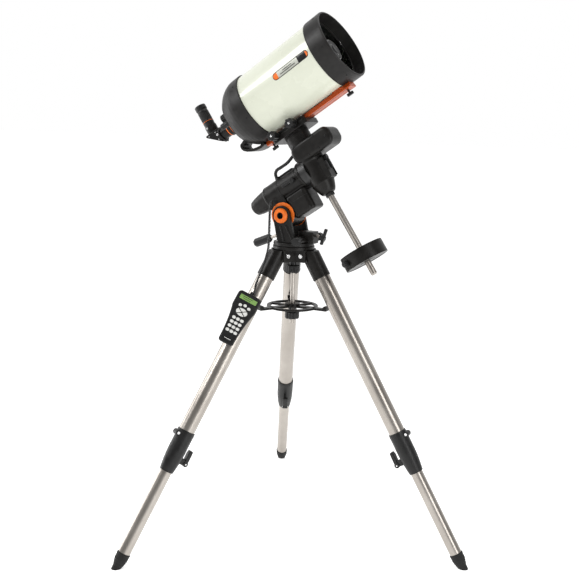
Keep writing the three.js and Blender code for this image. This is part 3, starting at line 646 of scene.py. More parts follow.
def make_tripod_head():
    bodies = [
        lathe([(0, 934.5), (66, 934.5), (66, 945), (0, 945)], ease=1.6, segments=128),
        rod(26, 897, 936, segments=64),
    ]
    bolts = []
    for azimuth in LEG_AZIMUTHS.values():
        for side in (-1, 1):
            bodies.append(spun(block((46, 6.5, 38.5), (37, side * 34.75, 916.25), 1.4), azimuth))
            head = facing(bolt(6.5, 4.5, (0, 0, 0), "y"), side)
            bolts.append(spun(moved(head, (45, side * 38, 917)), azimuth))
        web = spun(block((18, 12, 38.5), (29, 0, 916.25), 1.4), 60)
        bodies.append(spun(web, azimuth))
    visual("tripod_head", WORLD, (CASTING, *bodies), (CHROME, *bolts))


def make_leg(side):
    place = leg_frame(side)
    pivot = place.inverted() @ (stand(LEG_AZIMUTHS[side]) @ Vector((45, 0, 917)))
    level = Matrix.Translation(pivot) @ turned(LEG_TILT, "Y")
    barrel = lathe([(0, 988), (27.4, 988), (28.4, 994), (28.4, 1120), (0, 1120)], segments=96)
    inner = moved(block((60, 80, 60), (-30, 0, 30), 0), level)
    above = moved(block((400, 200, 100), (0, 0, 66), 0), level)
    bore = rod(25.7, 980, 1016, segments=96, ease=0)
    barrel = carve(barrel, inner, above, bore)
    boss = moved(rod(15, -31.1, 31.1, "y", ease=1.2), pivot)
    seam = pipe(28.9, 28.0, 990, 992.5, segments=96)
    visual(f"leg_socket_{side}", place, (CASTING, barrel, boss, seam))
    visual(
        f"leg_upper_tube_{side}", place, (STEEL, pipe(25.4, 22.4, 398.3, 1015.7)), slot="stainless_steel"
    )
    profile = [
        (19.35, 322), (22, 322), (24.5, 340), (26.4, 356), (27.6, 372), (28.2, 388), (28.2, 458),
        (25.7, 458), (25.7, 398), (19.35, 398), (19.35, 322),
    ]
    sleeve = lathe(profile, ease=1.2)
    lug = block((15, 14, 20), (-31, 0, 366), 1.6)
    pinch = rod(9, -11, 11, "y", ease=1.4)
    band = pipe(28.9, 27.8, 447, 450)
    screws = [moved(facing(bolt(4.6, 2.6, (0, 0, 0), "y"), y), (29, y, 442)) for y in (-11, 11)]
    visual(
        f"leg_clamp_{side}",
        place,
        (PLASTIC, sleeve, lug, moved(pinch, (29, 0, 442)), band),
        (CHROME, *screws),
    )
    hub = moved(rod(8.5, -9, 9, "y", ease=1.2), (-47.5, 0, 362))
    outline = [
        (-54, 364), (-42, 370), (-40.8, 382), (-40.5, 396), (-43, 406), (-52, 406),
        (-53.2, 398), (-53.5, 392),
    ]
    blade = prism(outline, -9, 9, 2.2, "y")
    pin = moved(rod(2.6, -10.4, 10.4, "y", 20), (-47.5, 0, 362))
    visual(f"leg_lock_lever_{side}", place, (PLASTIC, hub, blade), (CHROME, pin), slot="black_plastic")
    visual(f"leg_lower_tube_{side}", place, (STEEL, pipe(19.05, 17.05, 50.3, 700)), slot="stainless_steel")
    profile = [
        (0, -14), (12.5, -14), (13.5, -11), (14.5, 8), (17, 15), (17, 18), (19, 21), (19, 25),
        (20.5, 28), (20.5, 50), (0, 50),
    ]
    tip = lathe(profile, ease=1.5, segments=64)
    floor_cut = moved(block((120, 120, 60), (0, 0, -30), 0), turned(LEG_TILT, "Y"))
    collar = pipe(21.2, 19.5, 44, 49, ease=0.6)
    visual(f"leg_foot_{side}", place, (RUBBER, carve(tip, floor_cut), collar), slot="black_rubber")


def make_brace():
    stud = rod(6, 892, 969, segments=48)
    profile = [(0, 945.3), (5.4, 945.3), *[(5.4 + 0.6 * (i % 2), 946 + i) for i in range(22)], (0, 968)]
    threads = lathe(profile, segments=40, ease=0)
    grip = lathe([(0, 857), (20, 857), (20, 881), (0, 881)], ease=2.4, flutes=10, depth=2.5, rim=15)
    visual(
        "mounting_rod",
        WORLD,
        (STEEL, rod(7.5, 692, 877), stud, threads),
        (PLASTIC, grip, rod(12, 880, 896.7)),
        slot="stainless_steel",
    )
    ring = pipe(82, 70, 745, 752, segments=144, ease=1.6)
    hub = pipe(24, 7.8, 745, 758, segments=64, ease=1.2)
    outline = [(16, 745), (124, 745), (124, 760), (114, 760), (110, 752), (16, 752)]
    arms = []
    for azimuth in LEG_AZIMUTHS.values():
        arms.append(spun(prism(outline, -11, 11, 1.3, "y"), azimuth))
        arms.append(spun(block((60, 9, 7), (-46, 0, 748.5), 1.3), azimuth))
    visual("leg_brace", WORLD, (CASTING, ring, hub, *arms))
    profile = [(7.8, 708), (23, 708), (23, 730), (7.8, 730), (7.8, 708)]
    grip = lathe(profile, ease=2.6, flutes=9, depth=3, rim=16)
    visual("brace_knob", WORLD, (PLASTIC, grip, pipe(13, 7.8, 729, 744.7)), slot="black_plastic")


make_tripod_head()
for side in LEG_AZIMUTHS:
    make_leg(side)
make_brace()

# ---- azimuth base and its screws -------------------------------------------------

PIVOT = (-19, 1041)


def make_base():
    disc = lathe([(0, 945.3), (64, 945.3), (64, 957), (0, 957)], ease=2.0, segments=144)
    groove = pipe(64.4, 62, 950.2, 951.6, segments=144, ease=0.3)
    solids = [
        disc,
        block((70, 94, 23), (14, 0, 966.5), 2.5),
        block((50, 40, 38), (51.5, 0, 974), 2.5),
        block((32, 40, 30), (-35, 0, 971), 2.5),
        moved(rod(8.5, -72, 72, "y", ease=1.4), (50, 0, 967)),
        block((9, 100, 9), (36, 0, 974), 2),
    ]
    outline = [(-30, 956), *arc(*PIVOT, 30, 180, 22, 24), (22, 994), (33, 966), (33, 956)]
    for side in (-1, 1):
        low, high = sorted((side * 43, side * 55))
        bore = moved(rod(11.8, -70, 70, "y", 64, 0), (PIVOT[0], 0, PIVOT[1]))
        solids.append(carve(prism(outline, low, high, 1.6, "y"), bore))
        face = side * 55
        for start, end in (((-20, 1008), (-6, 962)), ((-2, 1012), (26, 962))):
            solids.append(sweep([(start[0], face, start[1]), (end[0], face, end[1])], 3.4, 16))
    bolts = [bolt(4, 3, (x, y, 957)) for x, y in ((-52, 0), (-40, 32), (-40, -32), (42, -40), (42, 40))]
    visual("mount_base", WORLD, (CASTING, *solids), (PLASTIC, groove), (CHROME, *bolts))
    for name, side in (("near", -1), ("far", 1)):
        head = lathe([(0, 72.3), (13, 72.3), (13, 90), (0, 90)], "y", ease=1.6, flutes=12, depth=1.5, rim=9)
        screw = [moved(facing(s, side), (50, 0, 967)) for s in (head, rod(4, 50, 74, "y"))]
        visual(f"azimuth_screw_{name}", WORLD, (PLASTIC, *screw), slot="black_plastic")
    front = Matrix.Translation((77.5, 0, 981)) @ turned(18, "Y")
    bar = [cover(10, 11, 52, 4, 2, (26, 0, 6)), rod(9, 14, 32, "x", ease=1.4)]
    visual(
        "latitude_screw_front",
        WORLD @ front,
        (PLASTIC, *bar),
        (STEEL, rod(5, 1.3, 22, "x")),
        slot="black_plastic",
    )
    rear = Matrix.Translation((-50, 0, 975)) @ turned(-22, "Y")
    profile = [(0, -98), (11, -98), (14, -93), (14, -41), (10, -34), (0, -34)]
    handle = lathe(profile, "x", 72, 2.2, 6, 1.1, 9)
    visual(
        "latitude_screw_rear",
        WORLD @ rear,
        (PLASTIC, handle),
        (STEEL, rod(5, -38, -3.3, "x")),
        slot="black_plastic",
    )


make_base()

# ---- polar housing ---------------------------------------------------------------


def polar_point(x, z):
    place = POLAR.inverted() @ (WORLD @ Vector((x, 0, z)))
    return place.x, place.z


AXLE = polar_point(*PIVOT)


def screw_row(points, radius=2.6):
    """Small screw heads on a near face, standing out towards minus Y."""
    return [moved(facing(bolt(radius, 1.6, (0, 0, 0), "y"), -1), point) for point in points]


def make_polar_head():
    profile = [
        (0, -255), (17, -255), (24, -249), (28, -234), (31, -216), (33.4, -197), (34, -191),
        (36.6, -188), (38, -186), (38, -52), (44, -48), (44, -40), (0, -40),
    ]
    barrel = lathe(profile, "x", 128, 1.6)
    bands = [pipe(38.7, 37, x, x + 3, "x", 128, 0.7) for x in (-184, -131, -60)]
    outline = [(-186, -10), *arc(*AXLE, 30, 180, 342, 24), (-126.3, -90), (-126.3, -10)]
    web = prism(outline, -34, 34, 2.2, "y")
    disc = moved(rod(39, -40, 40, "y", 96, 1.6), (AXLE[0], 0, AXLE[1]))
    bridge = block((93, 56, 30), (-90.5, 0, -18), 3)
    ledge = block((30, 40, 34), (-166, 0, -24), 3)
    panel = cover(64, 30, 4, 6, 1.5, (-96, 0, 38))
    socket = moved(rod(8.5, 30, 41, "z", 48, 1.2), (-124.5, -14, -6))
    gland = lathe([(5.6, 34), (8, 34), (6.6, 41), (5.6, 41), (5.6, 34)], ease=0.4, segments=40)
    gland = moved(gland, (-124.5, -14, 0))
    screws = screw_row([(x, -34, z) for x, z in ((-180, -28), (-132, -20), (-132, -84), (-176, -52))])
    visual(
        "polar_housing",
        POLAR,
        (CASTING, barrel, *bands, web, disc, bridge, ledge),
        (PLASTIC, panel, socket, gland, *screws),
    )
    motor = cover(79, 80, 74, 16, 9, (-86.5, 0, -71))
    seam = cover(79.8, 80.8, 1.4, 16.2, 0.5, (-86.5, 0, -58))
    screws = screw_row([(x, -40, z) for x, z in ((-114, -98), (-60, -98), (-114, -44), (-60, -44))])
    visual("polar_motor_cover", POLAR, (CASTING, motor), (PLASTIC, seam, *screws))
    lever = [rod(9, 0.3, 11, ease=1.2), cover(38, 9, 9, 3, 2, (19, 0, 7.5))]
    place = Matrix.Translation((-70, -38, 0)) @ turned(90, "X") @ turned(180, "Z")
    visual("polar_clutch_lever", POLAR, (PLASTIC, *all_moved(lever, place)), slot="black_plastic")
    half = [
        (11.7, 0), (11.7, 40.3), (40, 40.3), (40, 42.7), (11.7, 42.7), (11.7, 55.3), (23.5, 55.3),
        (23.5, 58.3), (20, 62.3), (10.5, 62.3), (10.5, 30), (0, 30),
    ]
    plug = [(0, 45), (10.6, 45), (10.6, 60.8), (9.4, 60.8), (9.4, 47), (0, 47)]
    halves = [facing(lathe(half, "y", 128, 0.8), side) for side in (1, -1)]
    bores = [facing(lathe(plug, "y", 64, 0.3), side) for side in (1, -1)]
    ring = POLAR @ Matrix.Translation((AXLE[0], 0, AXLE[1]))
    visual("latitude_pivot", ring, (CAP, *halves), (DARK, *bores), slot="orange_cap")


def make_declination_head():
    profile = [
        (0, -92), (15, -92), (22, -89), (26.5, -82), (30, -74), (33.5, -64), (35.5, -58),
        (37, -56), (37, 18), (39.5, 22), (39.5, 117), (0, 117),
    ]
    spindle = lathe(profile, segments=128, ease=1.8)
    rings = [
        pipe(37.8, 36.5, -55, -52),
        pipe(40.2, 39, 96, 98.5),
        pipe(40.2, 39, 106, 107.2),
        pipe(40.2, 39, 22, 25),
    ]
    flange = lathe([(0, -39.7), (43, -39.7), (43, -14), (0, -14)], "x", 128, 1.4)
    rack = block((30, 44, 70), (28, 0, -20), 4)
    ribs = [block((26, 3, 62), (33, y, -20), 1.2) for y in (-23, 23)]
    hub = moved(rod(13, 36, 43, "x", 48, 1), (0, 0, 10))
    visual("declination_housing", POLAR, (CASTING, spindle, *rings, rack, *ribs, hub), (FLANGE, flange))
    middle = Matrix.Translation((40, 0, 56)) @ turned(90, "X")
    shell = moved(cover(148, 60, 84, 24, 13, (0, 0, 0)), middle)
    seam = moved(cover(148.6, 60.6, 1.6, 24.2, 0.6, (0, 0, 30)), middle)
    lamp = moved(lathe([(0, -4), (3, -4), (2.6, 0.4), (1.2, 1.5), (0, 1.7)], segments=24), (94, 0, 85.5))
    screws = screw_row([(x, -42, z) for x, z in ((20, 34), (96, 56), (60, 78), (60, 34))])
    details = [(PLASTIC, seam, *screws), (CHROME, lamp)]
    visual("declination_motor_cover", POLAR, (CASTING, shell), *details)
    lever = [rod(9, 0.3, 11, ease=1.2), cover(40, 9, 9, 3, 2, (20, 0, 7.5))]
    place = Matrix.Translation((43, 0, 10)) @ turned(90, "Y")
    visual("declination_clutch_lever", POLAR, (PLASTIC, *all_moved(lever, place)), slot="black_plastic")
    shaft = lathe([(0, -377), (7, -377), (10, -373), (10, -34), (0, -34)], ease=0.6)
    nut = lathe([(10.2, -101), (16, -101), (16, -93), (10.2, -93), (10.2, -101)], segments=6, ease=0)
    visual("counterweight_shaft", POLAR, (STEEL, shaft), (FLANGE, nut), slot="stainless_steel")
    profile = [
        (10.3, -332), (24, -332), (26, -330.5), (62, -330.5), (64, -332), (70.5, -332),
        (70.5, -288), (64, -288), (62, -289.5), (26, -289.5), (24, -288), (10.3, -288),
        (10.3, -332),
    ]
    disc = lathe(profile, segments=160, ease=1.6)
    visual("counterweight", POLAR, (CASTING, disc))
    screw = [
        rod(4, -76.5, -13, "x"),
        lathe([(0, -86.5), (9, -86.5), (9, -71.5), (0, -71.5)], "x", 72, 1.2, 10, 1.2, 6),
    ]
    place = Matrix.Translation((0, 0, -310)) @ turned(62, "Z")
    visual("counterweight_screw", POLAR, (PLASTIC, *all_moved(screw, place)), slot="black_plastic")


def make_saddle():
    plate = cover(132, 92, 16, 10, 2, (2, 0, 130))
    lips = [block((124, 15.5, 13), (2, side * 32.25, 142.5), 2) for side in (-1, 1)]
    boss = rod(39.5, 117.3, 124, segments=128)
    screws = [bolt(3.4, 2.4, (x, y, 149)) for x in (-48, -12, 58) for y in (-33, 33)]
    visual("saddle", POLAR, (CASTING, plate, *lips, boss), (CHROME, *screws))
    for index, x in enumerate((-42, 30)):
        profile = [(0, -80), (15, -80), (15, -52), (11, -46), (0, -46)]
        head = lathe(profile, "y", ease=2.2, flutes=7, depth=2.5, rim=10)
        dot = lathe([(0, -81.2), (3.4, -81), (4.2, -79), (0, -79)], "y", 32, 0.5)
        stem = rod(4, -62, -36, "y")
        place = Matrix.Translation((x, 0, 141))
        parts = all_moved((head, dot, stem), place)
        visual(
            f"saddle_knob_{index + 1}",
            POLAR,
            (PLASTIC, parts[0]),
            (CHROME, *parts[1:]),
            slot="black_plastic",
        )


make_polar_head()
make_declination_head()
make_saddle()

# ---- optical tube ----------------------------------------------------------------


def on_tube(shape, radius=108.0):
    """Wraps a flat shape round the tube: its X runs along the tube, its Y round it and its Z stands out."""
    for vertex in shape.verts:
        x, y, z = vertex.co
        angle = y / radius
        vertex.co = (x, -(radius + z) * math.cos(angle), (radius + z) * math.sin(angle))
    return shape


def pill(length, height, start, end, thick):
    """A badge panel from a rounded strip, between two stations; rows of faces follow the tube's curve."""
    shape = bmesh.new()
    half, columns, rows = height / 2, 40, 12
    grid = []
    for i in range(columns + 1):
        x = start + (end - start) * i / columns
        from_end = min(x + length / 2, length / 2 - x)
        reach = half if from_end >= half else math.sqrt(max(0.0, half**2 - (half - from_end) ** 2))
        grid.append([shape.verts.new((x, reach * (2 * k / rows - 1), thick)) for k in range(rows + 1)])
    for left, right in zip(grid, grid[1:]):
        for k in range(rows):
            corners = (left[k], right[k], right[k + 1], left[k + 1])
            if (corners[0].co - corners[3].co).length + (corners[1].co - corners[2].co).length > 1e-6:
                shape.faces.new(corners)
    bmesh.ops.remove_doubles(shape, verts=shape.verts, dist=1e-4)
    skirt = bmesh.ops.extrude_edge_only(shape, edges=[e for e in shape.edges if e.is_boundary])
    for vertex in skirt["geom"]:
        if isinstance(vertex, bmesh.types.BMVert):
            vertex.co.z = -0.3
    return shape


BADGE_TURN = -4


def make_tube():
    shell = pipe(108, 105.5, -57.7, 211.7, "x", 192, 0.5)
    visual("optical_tube", TUBE, (IVORY, shell), slot="ivory_paint")
    spans = [pill(60 - 24 * k, 2.2, 12 * k - 30, 30 - 12 * k, 0.6) for k in range(2)]
    badge = [
        (DARK, pill(136, 23, -68, 68, 0.35)),
        (PALE, pill(131, 18.6, -50, 28, 0.5)),
        (CAP, pill(131, 18.6, -65.5, -50, 0.5)),
        (GLOSS, pill(131, 18.6, 28, 59, 0.5)),
        (CAP, pill(131, 18.6, 59, 65.5, 0.5)),
        (DARK, *[moved(span, (-12, 6 * k - 3, 0)) for k, span in enumerate(spans)]),
    ]
    place = Matrix.Translation((136, 0, 0)) @ turned(BADGE_TURN, "X")
    panels = [(finish, *[moved(on_tube(shape), place) for shape in shapes]) for finish, *shapes in badge]
    piece("tube_badge", TUBE, *panels, body="tube")


def make_front_cell():
    profile = [
        (105.2, 204), (105.2, 212), (110.5, 212), (111.5, 216), (111.5, 268), (109.5, 271),
        (105.5, 271), (104.5, 235), (101.6, 233), (101.6, 204), (105.2, 204),
    ]
    cell = lathe(profile, "x", 192, 1.0)
    screws = []
    for i in range(6):
        screws.append(spun(bolt(2.4, 0.7, (251, 0, 111.3)), 60 * i + 34, "X"))
    retainer = pipe(104.6, 97.5, 232.4, 236, "x", 192, 0.8)
    tabs = []
    for i in range(4):
        tabs.append(spun(block((1.4, 11, 5), (236.6, 0, 100.5), 0.6), 90 * i + 20, "X"))
    visual("front_cell", TUBE, (CELL, cell, retainer), (DARK, *screws), (CHROME, *tabs))
    lens = pipe(101.3, 27, 228, 232, "x", 192, 0.3)
    visual("corrector_plate", TUBE, (LENS, lens), slot="clear_glass")
    profile = [
        (0, 202), (24, 202), (26.7, 208), (26.7, 232.3), (36, 232.3), (36, 238), (33, 240),
        (31, 240), (30, 242.5), (27, 243), (0, 243),
    ]
    holder = lathe(profile, "x", 128, 0.8)
    trim = pipe(33.6, 32.2, 239.4, 240.6, "x", 128, 0.3)
    boss = lathe([(0, 242), (14, 242), (14, 244.5), (11, 245.5), (9, 244.6), (0, 244.6)], "x", 96, 0.6)
    screws = [
        moved(bolt(1.8, 1.2, (0, 0, 0), "x"), (243, 20 * math.cos(a), 20 * math.sin(a)))
        for a in (0.4, 2.5, 4.6)
    ]
    visual(
        "secondary_holder",
        TUBE,
        (PLASTIC, holder),
        (CHROME, trim, *screws),
        (FLANGE, boss),
        slot="black_plastic",
    )
    profile = [(27, -95), (100, -95), (100, -70), (85, -72.3), (70, -74), (45, -76), (27, -77), (27, -95)]
    dish = lathe(profile, "x", 192, 0.3)
    visual("primary_mirror", TUBE, (MIRROR, dish), slot="mirror_glass")


def make_rear_cell():
    profile = [
        (0, -150), (78, -150), (84, -147), (91, -139), (98, -130), (103.5, -120), (108, -110),
        (111.4, -98), (112.5, -88), (112.5, -58), (105.2, -58), (105.2, -48), (103, -48),
        (103, -104), (92, -124), (78, -142), (24, -142), (24, 90), (20, 90), (20, -144), (0, -144),
    ]
    shell = lathe(profile, "x", 192, 1.2)
    screws = []
    for i in range(6):
        screws.append(spun(bolt(2.4, 0.7, (-72, 0, 112.3)), 60 * i + 50, "X"))
    vents = []
    for side in (-1, 1):
        for k in range(7):
            vents.append(block((1.2, 22 - abs(k - 3) * 3, 1.4), (-150.3, side * 46, -52 + k * 4), 0.4))
    rim = pipe(80, 77, -151, -149, "x", 192, 0.5)
    visual("rear_cell", TUBE, (CELL, shell), (DARK, *screws, *vents), (PLASTIC, rim))
    knob = lathe([(0, -174), (16, -174), (16, -150.3), (0, -150.3)], "x", 112, 1.8, 14, 1.5, 11)
    cap = lathe([(0, -175), (10, -174.8), (11, -173.5), (0, -173.5)], "x", 64, 0.4)
    place = Matrix.Translation((0, -49, 20))
    visual(
        "focus_knob",
        TUBE,
        (RUBBER, moved(knob, place)),
        (PLASTIC, moved(cap, place), moved(rod(5, -156, -134, "x"), place)),
        slot="black_rubber",
    )
    profile = [(0, -184), (8, -184), (10, -181), (10, -156), (7, -150.3), (0, -150.3)]
    lock = lathe(profile, "x", 64, 1.2, 12, 0.7, 6)
    stem = rod(4, -156, -134, "x")
    visual(
        "mirror_lock",
        TUBE,
        (PLASTIC, moved(lock, (0, -64, -2)), moved(stem, (0, -64, -2))),
        slot="black_plastic",
    )
    outer = [
        (-98, -117), (-118, -119), (-136, -116), (-152, -110), (-165, -102.5), (-176, -93),
        (-179.5, -84), (-179, -76), (-176, -70),
    ]
    inner = [
        (-150.5, -62), (-150.5, -73), (-168, -79), (-169.5, -84), (-168, -89), (-163, -93.6),
        (-153, -100), (-140, -105), (-128, -108), (-116, -110), (-98, -106),
    ]
    strap = prism(outer + inner, -28, 28, 2.6, "y")
    back = [(78.2, -150.3), (84.4, -147), (98.4, -130), (108.4, -110), (112.8, -88), (112.8, 2)]
    cutter = lathe([(0, -150.3), *back, (0, 2)], "x", 128, 0)
    visual("carry_handle", TUBE, (CASTING, carve(strap, cutter)))
    profile = [
        (16.5, -196), (22, -196), (24, -192), (24, -176), (34, -175), (34, -162), (35, -161),
        (35, -150.3), (16.5, -150.3), (16.5, -196),
    ]
    back = lathe(profile, "x", 112, 0.8, 28, 0.6, 32)
    sleeve = pipe(24.3, 22, -192, -177, "x", 112, 0.5)
    visual("visual_back", TUBE, (CAP, back), (CASTING, sleeve), slot="orange_cap")


EYEPIECE = -251


def make_eyepiece():
    nose = rod(15.9, -241, -172, "x", 96)
    collar = lathe([(0, -229), (26, -229), (26, -222), (0, -222)], "x", 112, 1.2, 30, 0.7, 22)
    clamp = lathe([(0, -222.5), (20, -222.5), (20, -199), (18, -197), (0, -197)], "x", 96, 0.8)
    outline = [(EYEPIECE + x, z) for x, z in ((22, -24), (24, -20), (24, 22), (-22, 22), (-24, 17))]
    prism_body = prism(outline, -21, 21, 1.8, "y")
    holder = moved(pipe(19.5, 16.2, 18, 48, "z", 96, 0.9), (EYEPIECE, 0, 0))
    thumb = []
    for place in (
        Matrix.Translation((EYEPIECE, -19.4, 39)) @ turned(90, "X"),
        Matrix.Translation((-226, -25, 0)) @ turned(90, "X"),
    ):
        thumb.append(moved(rod(1.6, -1, 5, segments=24), place))
        thumb.append(moved(lathe([(0, 4), (4, 4), (4, 9), (0, 9)], "z", 48, 0.5, 12, 0.4, 3), place))
    screws = screw_row([(EYEPIECE + x, -21, z) for x, z in ((16, -12), (16, 14), (-12, 14))], radius=1.8)
    visual(
        "star_diagonal", TUBE, (CASTING, nose, collar, clamp, prism_body, holder), (CHROME, *thumb, *screws)
    )
    profile = [
        (0, 28), (15.9, 28), (15.9, 48.3), (17.5, 48.3), (17.9, 54), (18.2, 60), (18.2, 66),
        (17.6, 67), (17.6, 92), (18.2, 93), (18.2, 100), (16.5, 104), (18.4, 106), (19, 109),
        (19, 120), (18, 122), (15.5, 121), (13, 114), (11.5, 113), (0, 113),
    ]
    body = lathe(profile, "z", 112, 0.7)
    grip = lathe([(17.4, 68), (18.1, 68), (18.1, 91), (17.4, 91), (17.4, 68)], "z", 120, 0.2, 30, 0.5, 17.8)
    trim = pipe(18.45, 17.8, 62.4, 63.6, "z", 96, 0.2)
    lens = lathe([(0, 113.4), (10.8, 113.2), (9, 114.2), (5, 115), (0, 115.3)], "z", 64, 0)
    place = Matrix.Translation((EYEPIECE, 0, 0))
    visual(
        "eyepiece",
        TUBE,
        (PLASTIC, moved(body, place)),
        (RUBBER, moved(grip, place)),
        (CAP, moved(trim, place)),
        (GLOSS, moved(lens, place)),
        slot="black_plastic",
    )


def make_bar():
    top, bottom = -110.8, 138.3 - TUBE_HEIGHT
    outline = [(-22, bottom), (22, bottom), (22, bottom + 4), (17, top), (-17, top), (-22, bottom + 4)]
    middle = prism(outline, -97, 236, 0.8)
    middle = moved(middle, Matrix(((0, 0, 1, 0), (1, 0, 0, 0), (0, 1, 0, 0), (0, 0, 0, 1))))
    clear = rod(112.8, -200, -57.5, "x", 160, 0)
    front = rod(111.8, 211.5, 300, "x", 160, 0)
    whole = rod(108.3, -210, 310, "x", 160, 0)
    bar = carve(middle, clear, front, whole)
    pads = [
        carve(block((30, 30, 6), (x, 0, top + 2), 0.8), rod(108.3, -210, 310, "x", 160, 0))
        for x in (-38, 188)
    ]
    grooves = [block((300, 1.2, 0.8), (70, y, bottom + 0.1), 0.3) for y in (-12, 12)]
    visual("dovetail_bar", TUBE, (ORANGE, bar, *pads), (DARK, *grooves), slot="orange_anodised")
    for index, x in enumerate((-84, 216)):
        parts = [rod(3.5, bottom - 12, bottom + 8, segments=32), cover(22, 9, 9, 3, 2, (0, 0, bottom - 14))]
        place = Matrix.Translation((x, 0, 0))
        stem, head = all_moved(parts, place)
        visual(f"bar_screw_{index + 1}", TUBE, (PLASTIC, head, stem), slot="black_plastic")


FINDER_TURN = 44
FINDER_RADIUS = 156


def make_finder():
    rear, front = -64, 132
    profile = [
        (0, rear + 4), (13, rear + 4), (13, rear), (17, rear), (18.5, rear + 24), (15, rear + 28),
        (15, rear + 92), (18, rear + 104), (22, rear + 112), (22, front - 66), (25, front - 58),
        (28, front - 50), (28, front), (25, front), (25, front - 18), (0, front - 20),
    ]
    scope = lathe(profile, "x", 112, 1.0)
    profile = [(15.5, rear + 2), (18.2, rear + 2), (18.8, rear + 20), (15.5, rear + 20), (15.5, rear + 2)]
    grip = lathe(profile, "x", 120, 0.5, 24, 0.8, 17)
    rings, posts, screws = [], [], []
    for x in (rear + 50, front - 74):
        rings.append(pipe(30, 24.5, x - 6, x + 6, "x", 96, 1.2))
        posts.append(block((12, 18, 20), (x, 0, -36), 1.6))
        for k in range(3):
            turn = turned(120 * k + 90, "X")
            stem = moved(rod(1.8, 14, 42 if k else 36, segments=20), turn)
            head = moved(lathe([(0, 37), (4.4, 37), (4.4, 43), (0, 43)], "z", 48, 0.5, 12, 0.4, 3.5), turn)
            screws += all_moved((stem, head), (x, 0, 0))
    eyelens = lathe([(0, rear + 4.5), (12.6, rear + 4.4), (8, rear + 3.2), (0, rear + 2.6)], "x", 64, 0)
    profile = [
        (0, front - 16), (12, front - 16.6), (24.8, front - 18.4), (24.8, front - 19), (0, front - 19)
    ]
    objective = lathe(profile, "x", 96, 0)
    lift = Matrix.Translation((0, 0, FINDER_RADIUS))
    foot = carve(block((90, 26, 8), (30, 0, 115), 1.6), rod(108.3, -200, 200, "x", 160, 0))
    turn = turned(-FINDER_TURN, "X")
    place = turn @ lift
    visual(
        "finder_scope",
        TUBE,
        (CASTING, *all_moved((scope, *rings, *posts), place), moved(foot, turn)),
        (RUBBER, moved(grip, place)),
        (CHROME, *all_moved(screws, place)),
        (GLOSS, moved(eyelens, place), moved(objective, place)),
    )


make_tube()
make_front_cell()
make_rear_cell()
make_eyepiece()
make_bar()
make_finder()

# ---- hand controller -------------------------------------------------------------


def controller_outline():
    """The case's closed outline, drawn from the bottom up the right side and mirrored."""
    h, t, b = 84, 38.5, 25  # half its height, and half its width at the top and at the bottom
    right = [*arc(b - 9, 9 - h, 9, -90, 0, 6)]
    for i in range(1, 12):
        s = i / 12
        low, mid, high = Vector((b, 10 - h)), Vector((b + 1, -h * 0.1)), Vector((t, h * 0.42))
        right.append(tuple(low * (1 - s) ** 2 + mid * (2 * s * (1 - s)) + high * s * s))
    right += [(t, h * 0.42), *arc(t - 12, h - 12, 12, 0, 90, 8)]
    return right + [(-x, y) for x, y in reversed(right)]


def flat_button(outline, face, proud, bevel=0.6):
    """A key on the controller's face, from an outline in the controller's X and Z."""
    return prism(outline, face - proud, face + 1.5, bevel, "y", 2)


def sector(wide, tall, middle, gap=1.1):
    """A quarter of an oval about its middle direction, in degrees, with a gap to the next one."""
    turn = math.radians(middle)
    start = (gap * 1.6 * math.cos(turn), gap * 1.6 * math.sin(turn))
    angles = [math.radians(middle - 40 + 80 * i / 12) for i in range(13)]
    return [start, *[(wide * math.cos(a), tall * math.sin(a)) for a in angles]]


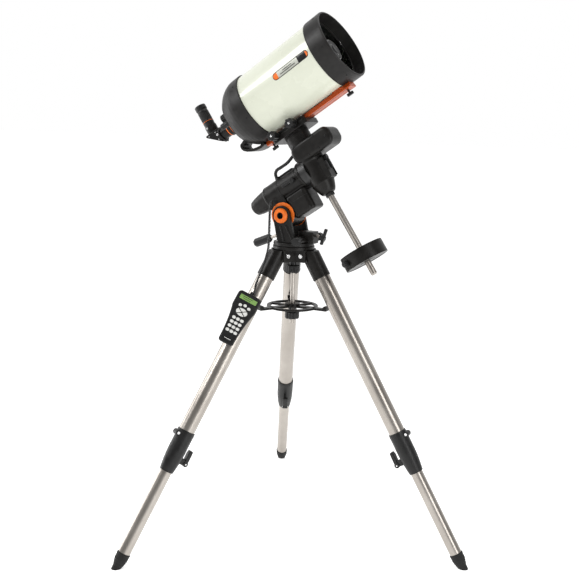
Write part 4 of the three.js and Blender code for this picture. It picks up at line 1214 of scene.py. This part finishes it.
def make_controller():
    place = (
        leg_frame("left") @ Matrix.Translation((35.3, 26.6, 830)) @ turned(148, "Z") @ turned(1.5, "Y")
    )
    face = -13.5
    case = prism(controller_outline(), face, -face, 0, "y")
    rims = [e for e in case.edges if abs(e.verts[0].co.y - e.verts[1].co.y) < 1e-6]
    bmesh.ops.bevel(
        case, geom=rims, offset=4.6, segments=5, profile=0.55, affect="EDGES", clamp_overlap=True
    )
    bezel = prism([(x, z + 66) for x, z in rounded(64, 20, 4)], face - 0.5, face + 1, 0.4, "y", 2)
    screen = prism([(x, z + 66) for x, z in rounded(56, 14, 1.5)], face - 0.7, face + 1, 0.2, "y", 2)
    strip = prism([(x, z - 68) for x, z in rounded(36, 9, 2)], face - 0.4, face + 1, 0.2, "y", 2)
    stripe = prism([(x, z - 68) for x, z in rounded(22, 1.6, 0.7)], face - 0.6, face + 1, 0.1, "y", 2)
    lines = [block((34 - 8 * (k % 2), 0.4, 1.4), (-4, face - 0.75, 69 - 5.5 * k), 0) for k in range(2)]
    side_ribs = [
        block((1.6, 17, 3.2), (sign * (24.2 + 0.05 * k), 1, -58 + 7 * k), 0.5)
        for sign in (-1, 1) for k in range(6)
    ]
    gland = lathe([(0, 82), (6.5, 82), (5.4, 88), (4.6, 94), (0, 94)], "z", 40, 0.6)
    bracket = [cover(40, 7, 46, 2.5, 2, (0, 16.4, -44)), block((12, 10, 30), (0, 22, -40), 2)]
    ridges = [block((40, 1.4, 1.6), (0, 20.2, -60 + 5 * k), 0.5) for k in range(7)]
    visual(
        "controller_case",
        place,
        (PLASTIC, case, *side_ribs, gland, *bracket, *ridges),
        (GLOSS, bezel),
        (SCREEN, screen),
        (DARK, *lines, strip),
        (KEYS, stripe),
        slot="black_plastic",
    )
    mat = prism([(x, z + 1) for x, z in rounded(40.4, 103.4, 4)], face + 0.9, face + 4, 0.4, "y", 2)
    pad = []
    for row in range(4):
        for column in range(3):
            outline = [(x + 13.6 * (column - 1), z - 1 - 14 * row) for x, z in rounded(11.8, 9.4, 4.6)]
            pad.append(flat_button(outline, face, 1.1))
    for column in (-1, 0, 1):
        outline = [(x + 14.6 * column, z + 45 - 4 * abs(column)) for x, z in rounded(10.6, 8.6, 4.2)]
        pad.append(flat_button(outline, face, 1.1))
    for quarter in range(4):
        outline = [(p, q + 22.5) for p, q in sector(18.5, 12, 90 * quarter)]
        pad.append(flat_button(outline, face, 1.1))
    centre = flat_button([(p, q + 22.5) for p, q in rounded(5, 5, 2.4)], face, 0.7)
    visual("controller_keypad", place, (RUBBER, mat), (KEYS, *pad), (GLOSS, centre), slot="white_keys")


make_controller()

# ---- floor -----------------------------------------------------------------------


def make_floor():
    made = as_object("floor", block((90, 90, 0.02), (0, 0, -0.0102), 0.002))
    made.data.materials.append(FLOOR)


make_floor()
